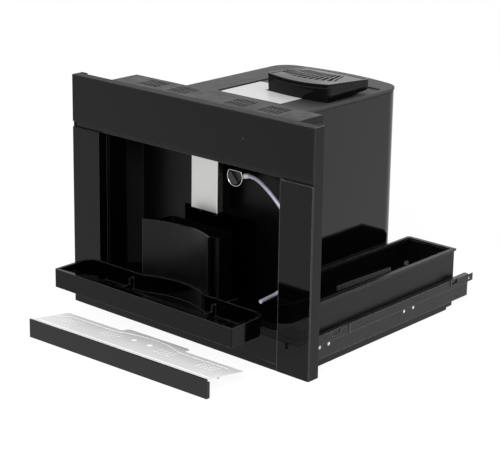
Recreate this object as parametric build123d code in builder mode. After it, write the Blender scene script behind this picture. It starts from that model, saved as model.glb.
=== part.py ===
"""Built-in coffee machine with a cup niche, pulled-out drip tray and side runners.

Millimetres. X to the right, Y back from the front face, Z up from the underside of the front frame.
The origin is the middle of the frame's lower front edge.
"""
from build123d import *
import os
from math import atan2, cos, degrees, radians, sin, tan

os.makedirs("parts", exist_ok=True)

# ---------------------------------------------------------------- driving dimensions
gap = 0.3                     # clearance between pieces that seat on each other
sheet = 1.5                   # folded steel sheet
moulded = 2.5                 # moulded plastic wall

# front frame
front_width = 595.0
front_height = 455.0
frame_depth = 27.0            # front face to the face that bears on the cabinet
panel_wall = 3.0              # fascia, pillar and bar walls
bearing_width = 15.0          # flange behind the pillars that bears on the cabinet
pillar_width = 72.5
fascia_height = 91.5
fascia_depth = 19.7
shadow_gap = 10.5             # between the fascia and the pillars
shadow_recess = 6.0
bar_height = 75.0
bar_crease_height = 12.5
groove = 0.8                  # fine crease lines
light_x = 138.6
light_drop = 46.2             # from the top of the fascia
light_radius = 1.2
board_width = 240.0
board_height = 60.0
board_depth = 12.0            # behind the front face
board_thickness = 1.6

# vent cover behind the fascia
vent_left = 210.0
vent_right = 247.0
vent_depth = 66.0
vent_side = 22.0
vent_centres = (-131.0, -55.0, 86.0, 164.0)
vent_slots = 6
vent_pitch = 8.0
vent_slot_width = 3.2
vent_slot_length = 19.0       # two rows of these in each group
vent_row = 23.0

# cup niche
niche_back = 95.0             # front face of the niche's back wall
niche_corner = 27.5
hatch_half = 90.0             # opening in the back wall for the grounds container
hatch_clear = 3.0
spout_slot_half = 35.5
spout_slot_front = 46.0

# drip tray, as photographed
tray_out = 117.5              # how far the tray stands out of the frame
tray_side_gap = 2.0
tray_depth = 91.5
tray_top = 113.0
tray_lift = 77.3              # underside
tray_wall = 3.5
tray_floor = 3.0
tray_shelf_top = 99.0
tray_shelf_depth = 44.5
rim_end = 5.0                 # front rim at the ends
rim_middle = 13.0             # front rim in the middle
rib_x = 104.0
rib_width = 3.0
rib_top = 103.0
bay_half = 82.0               # curved bay under the shield
bay_sagitta = 21.0
tongue_half = 84.9
tongue_length = 76.0
tray_rear_corner = 26.0
rail_half = 4.0               # guide rail of the track and its groove in the tray
rail_height = 2.0
float_radius = 7.0
float_height = 16.0
float_inset = 58.0            # from the left end of the tray

# grounds container and its shield
shield_drop = 132.0           # top of the shield, below the top of the niche
shield_thickness = 7.0
container_half = 79.0
container_back = 49.0
container_drop = 9.0
container_wall = 2.0
container_ribs = 5

# cup grate and strip, standing in front
grate_x = 3.5
grate_y = -183.3
grate_yaw = 2.2
strip_inset = 7.0             # shorter than the tray by this at each end
strip_height = 36.0
strip_thickness = 3.5
strip_lip = 7.0               # returns at the ends
strip_lip_height = 30.0
plate_inset = 1.5
plate_depth = 96.5
plate_thickness = 1.2
plate_fall = 15.0             # the rear edge stands this much lower than the front
tab_half = 76.0
tab_depth = 20.0
drain_radius = 6.5
drain_x = 19.5
drain_y = 68.0
hole_group_shares = (-0.7692, -0.3077, 0.3077, 0.7692)   # of half the plate's width
hole_size = (6.0, 2.2)
hole_pitch = (10.5, 7.5)
hole_rows = 4
hole_columns = 4
hole_y = 58.0
bead_width = 3.0
bead_depth = 0.5
leg_radius = 3.0
leg_inset = 44.5
leg_y = 84.0

# spout
spout_drop = 115.0
spout_height = 157.0
spout_half = 33.0
spout_face = 50.5
spout_cover_depth = 15.5
spout_cover_wall = 1.2
spout_back = 90.0
guide_half = 7.0
guide_head_half = 11.7
guide_head_depth = 3.6
guide_low = 8.0
guide_over = 10.0
guide_wall = 2.0
nozzle_x = 19.5
nozzle_y = 64.0
nozzle_radius = 4.5
nozzle_length = 9.0
nozzle_bore = 2.2

# steam connector, ring and hose
connector_x = 64.0
connector_drop = 40.5
connector_radius = 12.5
connector_face = 66.0
spigot_rise = 3.2
spigot_end = 84.0
spigot_wall = 1.2
spigot_back = 0.8             # the hose leaves at a slope, so the spigot stops this much short
ring_radius = 17.2
ring_wire = 1.7
ring_y = 63.5
ring_flat = 10.5               # flat top bar of the ring, above its middle
tap_radius = 14.0
tap_slope = 49.0               # its straight edge falls to the right by this
hose_y = 70.8
hose_radius = 3.5
hose_bore = 2.2
hose_run_share = 0.45
clip_wall = 1.6
clip_length = 8.0
clip_arm = 3.0                # half the thickness of the arm

# body behind the frame
body_half = 148.0
body_back = 440.0             # where the sides meet the bowed back
body_bow = 23.0
body_corner = 42.0
body_drop = 31.0              # top of the sides, below the top of the front
shadow_line = 4.0
cover_thickness = 4.0
cover_lip = 1.0
cover_recess = 2.5
recess_left = -80.0
recess_right = 138.0
recess_front = 169.0
recess_back = 397.0
plate_left = -75.0
plate_right = 73.0
plate_front = 172.0
plate_mid = 239.5
plate_rear = 290.0
plate_sheet = 0.8
seam_x = -98.0
seam_front = 187.0
seam_back = 323.0

# bean lid and hopper
lid_left = -18.0
lid_right = 134.0
lid_front = 241.0
lid_back = 364.0
lid_corner = 7.0
lid_front_rise = 34.0
lid_back_rise = 24.0
lid_lift = 7.0                # underside of the back, above that of the front
lid_wall = 3.0
lid_band = 8.0                # groove below the top edge
lid_slots = 9
lid_slot_size = (4.5, 24.0)
lid_slot_depth = 1.6
lid_slot_pitch = (8.8, 28.0)
lid_slot_slant = 17.0
lid_slot_shift = (-4.0, 3.0)  # middle of the slots from the middle of the lid
hopper_centre = (55.0, 320.0)
mouth_centre = (55.0, 304.0)
mouth_half = 52.0             # square mouth of the hopper
mouth_corner = 14.0
hopper_depth = 88.0
hopper_neck = 26.0
seal_width = 4.0
seal_height = 9.0

# grinder, brewing group and water circuit
grinder_radius = 42.0
grinder_height = 72.0
burr_radius = 24.0
burr_rim = 8.0
burr_lift = 14.0
burr_disc = 8.0
burr_cone = 26.0
shaft_radius = 6.0
motor_radius = 34.0
motor_height = 78.0
bracket_leg = 2.0
brew_front = 200.0
brew_depth = 80.0
brew_half = 42.0
brew_drop = 22.7
brew_foot = 12.0
piston_lift = 40.0
chamber_radius = 26.0
piston_radius = 25.6
piston_height = 40.0
piston_rod = 7.0
boiler_size = (70.0, 80.0, 100.0)
boiler_centre = (-60.0, 372.0)
pump_radius = 22.0
pump_length = 80.0
pump_centre = (-60.0, 372.0)
pump_mount_height = 9.0
tank_inner = -101.0
tank_front = 105.0
tank_back = 300.0
tank_drop = 24.0
tank_wall = 2.0
pipe_radius = 3.0
pipe_drop = 79.0
power_board_size = (2.0, 230.0, 200.0)
board_middle = (265.0, 200.0)
board_standoff = 5.0
block_size = (18.0, 40.0, 34.0)
block_offset = (55.0, 45.0)
inlet_size = (30.0, 17.0, 25.0)
inlet_x = -65.0

# base, track and side compartment
base_margin = 2.0
base_back = 464.0
base_thickness = 3.0
skirt_height = 15.0
channel_half = 99.5
channel_top = 75.0
channel_back = 440.0
track_thickness = 2.0
track_back = 192.0
guide_lip = 10.0
box_gap = 1.5
box_drop = 35.5               # outer wall, in from the side of the front
box_front = 98.8
neck_gap = 4.0                # between the niche and the narrow front part beside it
box_neck_front = 30.0
box_back = 487.0
box_top = 120.0
box_bottom = 3.3
box_rim = 6.0
box_rim_height = 4.0
box_rim_over = 2.0            # the rim stands out over the right and back walls
ledge_width = 12.0
ledge_top = 60.0
strip_front = 258.0
strip_back = 427.0
strip_ribs = 18
strip_front_span = (65.5, 74.5)
strip_back_span = (63.5, 70.5)
support_height = 66.0
support_foot = 22.0
rib_rise = 2.5

# telescopic runners
runner_front = 30.5
outer_back = 522.0
middle_back = 500.0
inner_back = 440.0
runner_bottom = 17.5
runner_height = 45.0
runner_depth = 10.0
runner_sheet = 1.5
member_sheet = 1.2
member_gap = 0.4
bracket_bottom = 44.5
bracket_thickness = 1.5
bracket_spans = ((34.0, 93.0, 62.0), (93.0, 118.0, 52.0), (118.0, 142.0, 60.0))   # front, back, top
bracket_step = 142.0          # full height from here back
bracket_tip = 537.0
bracket_tip_span = (46.0, 60.5)
tip_hole_y = 525.0
latch_front = 461.0           # window with a raised frame
latch_length = 24.0
latch_span = (latch_front, latch_front + latch_length)
latch_low = 50.5
latch_frame = 2.4
tab_hole_ys = (76.6, 126.3)
screw_hole_radius = 2.5
screw_hole_z = 52.0
screw_hole_ys = (196.0, 364.0)
screw_head_radius = 3.2
screw_head_height = 1.5
screw_z = 40.8
screw_ys = (60.0, 85.0, 310.0, 339.0)

# ---------------------------------------------------------------- worked out from them
half_width = front_width / 2
niche_half = half_width - pillar_width
fascia_bottom = front_height - fascia_height
pillar_top = fascia_bottom - shadow_gap
return_depth = frame_depth - panel_wall - 4.0       # inner returns stop in front of the carrier
shell_half = half_width - sheet - gap               # panels behind the front stay inside the side plates
carrier_front = return_depth + gap
tray_front = -tray_out
tray_half = niche_half - tray_side_gap
float_x = float_inset - tray_half
strip_half = tray_half - strip_inset
plate_half = strip_half - plate_inset
hole_groups = tuple(share * plate_half for share in hole_group_shares)
leg_x = plate_half - leg_inset
shield_top = pillar_top - shield_drop
container_top = shield_top - container_drop
hatch_top = shield_top + hatch_clear
spout_bottom = pillar_top - spout_drop
spout_top = spout_bottom + spout_height
guide_bottom, guide_top = spout_bottom + guide_low, spout_top + guide_over
connector_z = pillar_top - connector_drop
spigot_z = connector_z + spigot_rise
body_top = front_height - body_drop
cover_bottom = body_top + shadow_line
cover_top = cover_bottom + cover_thickness
lid_front_top, lid_back_top = cover_top + lid_front_rise, cover_top + lid_back_rise
hopper_bottom = cover_bottom - hopper_depth
grinder_bottom = hopper_bottom - grinder_height
motor_bottom = grinder_bottom - motor_height
brew_top = grinder_bottom - brew_drop
tank_top = body_top - tank_drop
box_inner, box_outer = body_half + box_gap, half_width - box_drop
box_neck = niche_half + neck_gap
base_half = box_outer + base_margin
runner_face = box_outer + runner_depth
tray_back = tray_front + tray_depth


def span_box(xs, ys, zs, mode=Mode.ADD):
    """A box between two corners, given as spans along X, Y and Z."""
    middle = tuple((a + b) / 2 for a, b in (xs, ys, zs))
    with Locations(middle):
        Box(xs[1] - xs[0], ys[1] - ys[0], zs[1] - zs[0], mode=mode)


def keep(builder, name):
    """Label the finished piece and write it to its own file."""
    builder.part.label = name
    export_step(builder.part, f"parts/{name}.step")


# ---------------------------------------------------------------- front frame
post_radius = 4.0
upper_post_x, lower_post_x = vent_left - 10, half_width - 40
post_end = frame_depth - sheet - gap
light_z = front_height - light_drop
board_z = light_z
processor_x = -60.0
relay_places = ((20.0, 10.0), (60.0, -8.0))   # from the board's middle

with BuildPart() as fascia_panel:
    span_box((-half_width, half_width), (0, fascia_depth), (fascia_bottom, front_height))
    chamfer(fascia_panel.edges().filter_by(lambda e: e.center().Y < 0.01), groove)
    for xs in ((-half_width, -shell_half), (shell_half, half_width)):
        span_box(xs, (panel_wall, fascia_depth), (fascia_bottom, front_height), Mode.SUBTRACT)
    span_box((-shell_half + panel_wall, shell_half - panel_wall), (panel_wall + 1, fascia_depth),
             (fascia_bottom + panel_wall, front_height - panel_wall), Mode.SUBTRACT)
    with BuildSketch(Plane.XZ.offset(-fascia_depth)):
        with Locations(*[(side * upper_post_x, front_height - 15) for side in (-1, 1)]):
            Circle(post_radius)
    extrude(amount=fascia_depth - panel_wall - 1)
    with BuildSketch(Plane.XZ.offset(-post_end)):
        with Locations(*[(side * lower_post_x, fascia_bottom + 15) for side in (-1, 1)]):
            Circle(post_radius)
    extrude(amount=post_end - panel_wall - 1)
    with BuildSketch(Plane.XZ.offset(-board_depth)):
        with Locations((0, board_z)):
            with GridLocations(board_width - 12, board_height - 12, 2, 2):
                Circle(post_radius - 1)
    extrude(amount=board_depth - panel_wall - 1)
    with BuildSketch(Plane.XZ):
        with Locations((light_x, light_z)):
            Circle(light_radius)
    extrude(amount=-panel_wall - 1, mode=Mode.SUBTRACT)
keep(fascia_panel, "fascia_panel")

with BuildPart() as status_light:
    with BuildSketch(Plane.XZ.offset(-0.2)):
        with Locations((light_x, light_z)):
            Circle(light_radius - 0.1)
    extrude(amount=-(board_depth - 2 * 0.2))
    with BuildSketch(Plane.XZ.offset(-board_depth + 2)):
        with Locations((light_x, light_z)):
            Rectangle(5, 4)
    extrude(amount=-2)
keep(status_light, "status_light")

with BuildPart() as control_board:
    span_box((-board_width / 2 - 30, light_x + 12), (board_depth, board_depth + board_thickness),
             (board_z - board_height / 2, board_z + board_height / 2))
    with BuildSketch(Plane.XZ.offset(-board_depth - board_thickness)):
        with Locations((processor_x, board_z)):
            Rectangle(34, 34)
        with Locations(*((x, board_z + rise) for x, rise in relay_places)):
            Rectangle(18, 12)
    extrude(amount=-2.5)
keep(control_board, "control_board")

for side, name in ((-1, "left_pillar"), (1, "right_pillar")):
    outer, inner, shell = side * half_width, side * niche_half, side * shell_half
    with BuildPart() as pillar:
        span_box(sorted((inner, outer)), (0, panel_wall), (0, pillar_top))
        chamfer(pillar.edges().filter_by(Axis.Z).sort_by(lambda e: e.center().Y - side * e.center().X)[0],
                groove)
        chamfer(pillar.edges().filter_by(Axis.X).sort_by(lambda e: e.center().Y - e.center().Z)[0], groove)
        span_box(sorted((inner, shell)), (panel_wall, post_end), (0, pillar_top))
        span_box(sorted((inner + side * panel_wall, shell - side * panel_wall)), (panel_wall, post_end),
                 (panel_wall, pillar_top - panel_wall), Mode.SUBTRACT)
        span_box(sorted((inner, shell - side * panel_wall)), (return_depth, post_end),
                 (panel_wall, pillar_top), Mode.SUBTRACT)
        span_box(sorted((inner, inner + side * panel_wall)), (return_depth, post_end),
                 (0, pillar_top), Mode.SUBTRACT)
    keep(pillar, name)

bar_half = niche_half - 0.2
with BuildPart() as bottom_bar:
    span_box((-bar_half, bar_half), (0, frame_depth), (0, bar_height))
    chamfer(bottom_bar.edges().filter_by(Axis.X).sort_by(lambda e: e.center().Y - e.center().Z)[0], groove)
    span_box((-bar_half + panel_wall, bar_half - panel_wall), (panel_wall, frame_depth),
             (panel_wall, bar_height - panel_wall), Mode.SUBTRACT)
    span_box((-bar_half, bar_half), (return_depth, frame_depth),
             (panel_wall, bar_height - panel_wall), Mode.SUBTRACT)
    span_box((-bar_half, bar_half), (0, groove),
             (bar_crease_height, bar_crease_height + groove), Mode.SUBTRACT)
keep(bottom_bar, "bottom_bar")

carrier_half = shell_half - panel_wall - gap
carrier_top = body_top
carrier_low = panel_wall + gap
carrier_sill = bar_height - panel_wall - gap
with BuildPart() as carrier_frame:
    span_box((-carrier_half, carrier_half), (carrier_front, frame_depth), (carrier_low, carrier_top))
    span_box((-niche_half, niche_half), (carrier_front, frame_depth),
             (carrier_sill, pillar_top), Mode.SUBTRACT)
    # the folded ring is open at the front, with flanges round both edges
    ring_front, ring_web = carrier_front, frame_depth - sheet
    for xs, zs in (
        ((-carrier_half + sheet, carrier_half - sheet), (carrier_low + sheet, carrier_sill - sheet)),
        ((-carrier_half + sheet, carrier_half - sheet), (pillar_top + sheet, carrier_top - sheet)),
        ((-carrier_half + sheet, -niche_half - sheet), (carrier_low + sheet, carrier_top - sheet)),
        ((niche_half + sheet, carrier_half - sheet), (carrier_low + sheet, carrier_top - sheet)),
    ):
        span_box(xs, (ring_front, ring_web), zs, Mode.SUBTRACT)
    # side plates behind the front panels, their flanges bear on the cabinet
    for side in (-1, 1):
        span_box(sorted((side * (half_width - sheet), side * half_width)), (panel_wall + gap, frame_depth),
                 (0, front_height))
        span_box(sorted((side * (half_width - bearing_width), side * half_width)), (ring_web, frame_depth),
                 (0, front_height))
    # the web lies a little in front of the flanges
    span_box((bearing_width - half_width, half_width - bearing_width), (frame_depth - gap, frame_depth),
             (0, front_height), Mode.SUBTRACT)
    # the recessed bar that closes the shadow gap
    span_box((-half_width, half_width), (shadow_recess, ring_web), (pillar_top + gap, fascia_bottom - gap))
keep(carrier_frame, "carrier_frame")

vent_front = fascia_depth + gap
with BuildPart() as vent_cover:
    span_box((-vent_left, vent_right), (vent_front, vent_front + vent_depth),
             (front_height - vent_side, front_height))
    chamfer(vent_cover.edges().group_by(Axis.Z)[-1].filter_by(
        lambda e: e.center().Y > vent_front + 0.01), groove)
    span_box((-vent_left + moulded, vent_right - moulded),
             (vent_front + moulded, vent_front + vent_depth - moulded),
             (front_height - vent_side, front_height - moulded), Mode.SUBTRACT)
    with BuildSketch(Plane.XY.offset(front_height)):
        for centre in vent_centres:
            with Locations((centre, vent_front + vent_depth / 2)):
                with GridLocations(vent_pitch, vent_row, vent_slots, 2):
                    Rectangle(vent_slot_width, vent_slot_length)
    extrude(amount=-moulded, mode=Mode.SUBTRACT)
keep(vent_cover, "vent_cover")

# ---------------------------------------------------------------- cup niche
liner_front = frame_depth + gap
liner_top = pillar_top + gap
track_top = channel_top + track_thickness
liner_outer_back = niche_back + moulded
pipe_radius_clear = pipe_radius + 1
with BuildPart() as niche_liner:
    with BuildSketch(Plane.XY.offset(channel_top)):
        with Locations((0, (liner_front + liner_outer_back) / 2)):
            Rectangle(2 * (niche_half + moulded), liner_outer_back - liner_front)
        fillet(vertices().group_by(Axis.Y)[-1], niche_corner + moulded)
    extrude(amount=liner_top + moulded - channel_top)
    with BuildSketch(Plane.XY.offset(track_top)):
        with Locations((0, (liner_front + niche_back) / 2)):
            Rectangle(2 * niche_half, niche_back - liner_front)
        fillet(vertices().group_by(Axis.Y)[-1], niche_corner)
    extrude(amount=liner_top - track_top, mode=Mode.SUBTRACT)
    span_box((-hatch_half, hatch_half), (niche_back - 1, liner_outer_back + 1), (channel_top, hatch_top),
             Mode.SUBTRACT)
    span_box((-channel_half - gap, channel_half + gap), (liner_front, liner_outer_back),
             (channel_top, track_top), Mode.SUBTRACT)
    span_box((-spout_slot_half, spout_slot_half), (spout_slot_front, niche_back),
             (liner_top - 1, liner_top + moulded + 1), Mode.SUBTRACT)
    with BuildSketch(Plane.XZ.offset(-niche_back)):
        with Locations((connector_x, connector_z)):
            Circle(pipe_radius_clear + 2 + gap)
    extrude(amount=-moulded, mode=Mode.SUBTRACT)
keep(niche_liner, "niche_liner")

pump_axis_z = base_thickness + pump_mount_height + pump_radius
pump_front = pump_centre[1] - pump_length / 2
pump_outlet = (pump_centre[0], pump_front + 13)
tank_pipe_offset = 47.0       # back from the tank's middle
tank_pipe_y = (tank_front + tank_back) / 2 + tank_pipe_offset
with BuildPart() as chassis_channel:
    span_box((-channel_half, channel_half), (liner_front, channel_back), (base_thickness, channel_top))
    span_box((-channel_half + sheet, channel_half - sheet), (liner_front, channel_back),
             (base_thickness, channel_top - sheet), Mode.SUBTRACT)
    with Locations(Location((pump_outlet[0], pump_outlet[1], channel_top))):
        Cylinder(pipe_radius_clear, 2 * panel_wall, mode=Mode.SUBTRACT)
    with Locations(Location((-channel_half, tank_pipe_y, pump_axis_z), (0, 90, 0))):
        Cylinder(pipe_radius_clear, 2 * panel_wall, mode=Mode.SUBTRACT)
keep(chassis_channel, "chassis_channel")

with BuildPart() as tray_track:
    span_box((-channel_half, channel_half), (liner_front, track_back), (channel_top, track_top))
    span_box((-rail_half, rail_half), (liner_front, track_back), (track_top, track_top + rail_height))
keep(tray_track, "tray_track")

# ---------------------------------------------------------------- drip tray
bay_radius = (bay_half ** 2 + bay_sagitta ** 2) / (2 * bay_sagitta)


def bay_outline(half, chord_y, grow=0.0):
    """A circular segment that bows backwards from a chord, as closed lines in the running sketch."""
    radius = bay_radius + grow
    rise = radius - (radius ** 2 - half ** 2) ** 0.5
    with BuildLine() as segment:
        ThreePointArc((-half, chord_y), (0, chord_y + rise), (half, chord_y))
        Line((half, chord_y), (-half, chord_y))
    make_face(segment.edges())


with BuildPart() as drip_tray:
    with BuildSketch(Plane.XY.offset(tray_lift)):
        with Locations((0, (tray_front + tray_back) / 2)):
            Rectangle(2 * tray_half, tray_depth)
        fillet(vertices().group_by(Axis.Y)[0], 2)
        fillet(vertices().group_by(Axis.Y)[-1], tray_rear_corner)
        bay_outline(bay_half, tray_back, tray_wall)
    extrude(amount=tray_top - tray_lift)
    # upper cavity, whose front edge is an arc so that the rim is thicker in the middle
    inner_half = tray_half - tray_wall - 2
    with BuildSketch(Plane.XY.offset(tray_shelf_top)):
        with BuildLine():
            ThreePointArc((-inner_half, tray_front + rim_end), (0, tray_front + rim_middle),
                          (inner_half, tray_front + rim_end))
            Polyline((inner_half, tray_front + rim_end), (inner_half, tray_back - tray_wall),
                     (-inner_half, tray_back - tray_wall), (-inner_half, tray_front + rim_end))
        make_face()
        fillet(vertices().group_by(Axis.Y)[-1], tray_rear_corner - tray_wall)
        bay_outline(bay_half - tray_wall, tray_back - tray_wall - 0.01)
    extrude(amount=tray_top - tray_shelf_top, mode=Mode.SUBTRACT)
    # deeper basin behind the shelf
    with BuildSketch(Plane.XY.offset(tray_lift + tray_floor)):
        with Locations((0, (tray_front + tray_shelf_depth + tray_back - tray_wall) / 2)):
            Rectangle(2 * inner_half, tray_depth - tray_shelf_depth - tray_wall)
        fillet(vertices().group_by(Axis.Y)[-1], tray_rear_corner - tray_wall)
        bay_outline(bay_half - tray_wall, tray_back - tray_wall - 0.01)
    extrude(amount=tray_shelf_top - tray_lift, mode=Mode.SUBTRACT)
    # hollow below the shelf
    span_box((-tray_half + tray_wall, tray_half - tray_wall),
             (tray_front + tray_wall, tray_front + tray_shelf_depth - tray_floor),
             (tray_lift, tray_shelf_top - tray_floor), Mode.SUBTRACT)
    for side in (-1, 1):
        # notched ribs beside the middle bay
        span_box((side * rib_x - rib_width / 2, side * rib_x + rib_width / 2),
                 (tray_front + tray_shelf_depth, tray_back - tray_wall),
                 (tray_lift + tray_floor, rib_top - 12))
        span_box((side * rib_x - rib_width / 2, side * rib_x + rib_width / 2),
                 (tray_back - tray_wall - 10, tray_back - tray_wall), (tray_lift + tray_floor, rib_top))
    float_y = (tray_front + tray_shelf_depth + tray_back - tray_wall) / 2
    with BuildSketch(Plane.XY.offset(tray_lift + tray_floor)):
        with Locations((float_x, float_y)):
            Circle(float_radius + 2)
            Circle(float_radius + gap, mode=Mode.SUBTRACT)
    extrude(amount=10)
    # tongue that carries the grounds container on the track
    span_box((-tongue_half, tongue_half), (tray_back, tray_back + tongue_length),
             (tray_lift, tray_lift + tray_floor))
    for side in (-1, 1):
        span_box(sorted((side * (tongue_half - track_thickness), side * tongue_half)),
                 (tray_back, tray_back + tongue_length), (tray_lift, tray_lift + guide_lip))
    span_box((-rail_half - gap, rail_half + gap),
             (tray_front + tray_wall, tray_back + tongue_length), (tray_lift, tray_lift + rail_height),
             Mode.SUBTRACT)
keep(drip_tray, "drip_tray")

with BuildPart() as tray_float:
    with BuildSketch(Plane.XY.offset(tray_lift + tray_floor + gap)):
        with Locations((float_x, float_y)):
            Circle(float_radius)
    extrude(amount=float_height)
    fillet(tray_float.edges().group_by(Axis.Z)[-1], 1.5)
keep(tray_float, "tray_float")

shield_chord = tray_back + 1.0
shield_base = tray_top + gap
with BuildPart() as container_shield:
    with BuildSketch(Plane.XY.offset(shield_base)):
        with BuildLine():
            ThreePointArc((-bay_half, shield_chord - 2), (0, shield_chord - 2 + bay_sagitta),
                          (bay_half, shield_chord - 2))
            Line((bay_half, shield_chord - 2), (bay_half, shield_chord - 2 + shield_thickness))
            ThreePointArc((bay_half, shield_chord - 2 + shield_thickness),
                          (0, shield_chord - 2 + bay_sagitta + shield_thickness),
                          (-bay_half, shield_chord - 2 + shield_thickness))
            Line((-bay_half, shield_chord - 2 + shield_thickness), (-bay_half, shield_chord - 2))
        make_face()
    extrude(amount=shield_top - shield_base)
    fillet(container_shield.edges().group_by(Axis.Z)[-1], 0.8)
keep(container_shield, "container_shield")

container_floor = tray_lift + tray_floor + gap
container_front = shield_chord - 2 + bay_sagitta + shield_thickness
with BuildPart() as grounds_container:
    with BuildSketch(Plane.XY.offset(container_floor)):
        with Locations((0, (container_front + gap + container_back) / 2)):
            RectangleRounded(2 * container_half, container_back - container_front - gap, 10)
    extrude(amount=container_top - container_floor)
    with BuildSketch(Plane.XY.offset(container_floor + container_wall)):
        with Locations((0, (container_front + gap + container_back) / 2)):
            RectangleRounded(2 * (container_half - container_wall),
                             container_back - container_front - gap - 2 * container_wall, 8)
    extrude(amount=container_top - container_floor, mode=Mode.SUBTRACT)
    with Locations(*[(side * container_half, y, (container_floor + container_top) / 2)
                     for side in (-1, 1)
                     for y in [container_front + 14 + step * 9 for step in range(container_ribs)]
                     if y < container_back - 11]):
        Box(2.4, 1.6, container_top - container_floor - 30)
keep(grounds_container, "grounds_container")

# ---------------------------------------------------------------- cup grate and strip, standing in front
stand = Plane(origin=(grate_x, grate_y, 0),
              x_dir=(cos(radians(grate_yaw)), sin(radians(grate_yaw)), 0), z_dir=(0, 0, 1))
plate_tilt = degrees(atan2(plate_fall, plate_depth))
with BuildPart(stand) as front_strip:
    with Locations((0, strip_thickness / 2, strip_height / 2)):
        Box(2 * strip_half, strip_thickness, strip_height)
    with Locations(*[(side * (strip_half - strip_thickness / 2), strip_lip / 2 + strip_thickness / 2,
                      strip_lip_height / 2) for side in (-1, 1)]):
        Box(strip_thickness, strip_lip, strip_lip_height)
    chamfer(front_strip.edges().group_by(SortBy.LENGTH)[-1].sort_by(Axis.Y)[:2], 0.6)
keep(front_strip, "front_strip")

plate_top_front = strip_height - 1.0
plate_plane = Plane(origin=stand.from_local_coords(Vector(0, strip_thickness + gap, plate_top_front)),
                    x_dir=stand.x_dir, z_dir=stand.z_dir.rotate(Axis((0, 0, 0), tuple(stand.x_dir)),
                                                                -plate_tilt))
bead_outer, bead_corner = plate_half - 4, 20
with BuildPart() as cup_grate:
    with BuildSketch(plate_plane):
        with Locations((0, plate_depth / 2)):
            Rectangle(2 * plate_half, plate_depth)
        with Locations((0, plate_depth)):
            Rectangle(2 * tab_half, 2 * tab_depth)
        fillet(vertices().filter_by(lambda v: abs(v.X - grate_x) < tab_half + 9).filter_by(
            lambda v: v.Z < plate_top_front - plate_fall - 1), 6)
    extrude(amount=-plate_thickness)
    with BuildSketch(plate_plane):
        with Locations(*[(side * drain_x, drain_y) for side in (-1, 1)]):
            Circle(drain_radius)
        for centre in hole_groups:
            with Locations((centre, hole_y)):
                with GridLocations(hole_pitch[0], hole_pitch[1], hole_columns, hole_rows):
                    Rectangle(*hole_size)
    extrude(amount=-2 * plate_thickness, mode=Mode.SUBTRACT)
    # pressed bead that follows the edges and the curved tab
    with BuildSketch(plate_plane):
        for inset, mode in ((0, Mode.ADD), (bead_width, Mode.SUBTRACT)):
            x, y = bead_outer - inset, plate_depth - 13 - inset
            with BuildLine():
                ThreePointArc((-tab_half, y), (0, y + bay_sagitta), (tab_half, y))
                Polyline((tab_half, y), (x - bead_corner, y), (x, y - bead_corner), (x, 10 + inset),
                         (-x, 10 + inset), (-x, y - bead_corner), (bead_corner - x, y), (-tab_half, y))
            make_face(mode=mode)
    extrude(amount=-bead_depth, mode=Mode.SUBTRACT)
    # two legs that locate the plate in the tray and here hold its rear edge up
    leg_top = plate_top_front - (leg_y - strip_thickness) * tan(radians(plate_tilt)) - plate_thickness / 2
    with BuildSketch(stand):
        with Locations(*[(side * leg_x, leg_y) for side in (-1, 1)]):
            Circle(leg_radius)
    extrude(amount=leg_top)
keep(cup_grate, "cup_grate")

# ---------------------------------------------------------------- spout
cover_back = spout_face + spout_cover_depth
with BuildPart() as spout_front:
    with BuildSketch(Plane.XY.offset(spout_bottom)):
        with Locations((0, (spout_face + cover_back) / 2)):
            Rectangle(2 * spout_half, spout_cover_depth)
        fillet(vertices().filter_by(lambda v: v.Y < spout_face + 1), 2.5)
        with Locations((0, (spout_face + spout_cover_wall + cover_back + 2) / 2)):
            Rectangle(2 * (spout_half - spout_cover_wall), spout_cover_depth - spout_cover_wall + 2,
                      mode=Mode.SUBTRACT)
    extrude(amount=spout_height)
keep(spout_front, "spout_front")

body_inset = spout_cover_wall + gap
housing_front = spout_face + body_inset
housing_half = spout_half - body_inset
slot_back = spout_back - guide_wall
head_front = slot_back - guide_head_depth - 2 * gap
with BuildPart() as spout_body:
    span_box((-housing_half, housing_half), (housing_front, spout_back), (spout_bottom + gap, spout_top))
    # T-shaped channel that runs on the guide
    span_box((-guide_head_half - gap, guide_head_half + gap), (head_front, slot_back),
             (spout_bottom + gap, spout_top), Mode.SUBTRACT)
    span_box((-guide_half - gap, guide_half + gap), (slot_back - gap, spout_back),
             (spout_bottom + gap, spout_top), Mode.SUBTRACT)
keep(spout_body, "spout_body")

with BuildPart() as spout_nozzles:
    with BuildSketch(Plane.XY.offset(spout_bottom)):
        with Locations(*[(side * nozzle_x, nozzle_y) for side in (-1, 1)]):
            Circle(nozzle_radius)
    extrude(amount=-nozzle_length, taper=8)
    with BuildSketch(Plane.XY.offset(spout_bottom - nozzle_length)):
        with Locations(*[(side * nozzle_x, nozzle_y) for side in (-1, 1)]):
            Circle(nozzle_bore)
    extrude(amount=nozzle_length - 2, mode=Mode.SUBTRACT)
keep(spout_nozzles, "spout_nozzles")

with BuildPart() as spout_guide:
    span_box((-guide_half, guide_half), (slot_back - guide_head_depth / 2, niche_back),
             (guide_bottom, guide_top))
    span_box((-guide_head_half, guide_head_half),
             (head_front + gap, head_front + gap + guide_head_depth), (guide_bottom, guide_top))
keep(spout_guide, "spout_guide")

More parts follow.
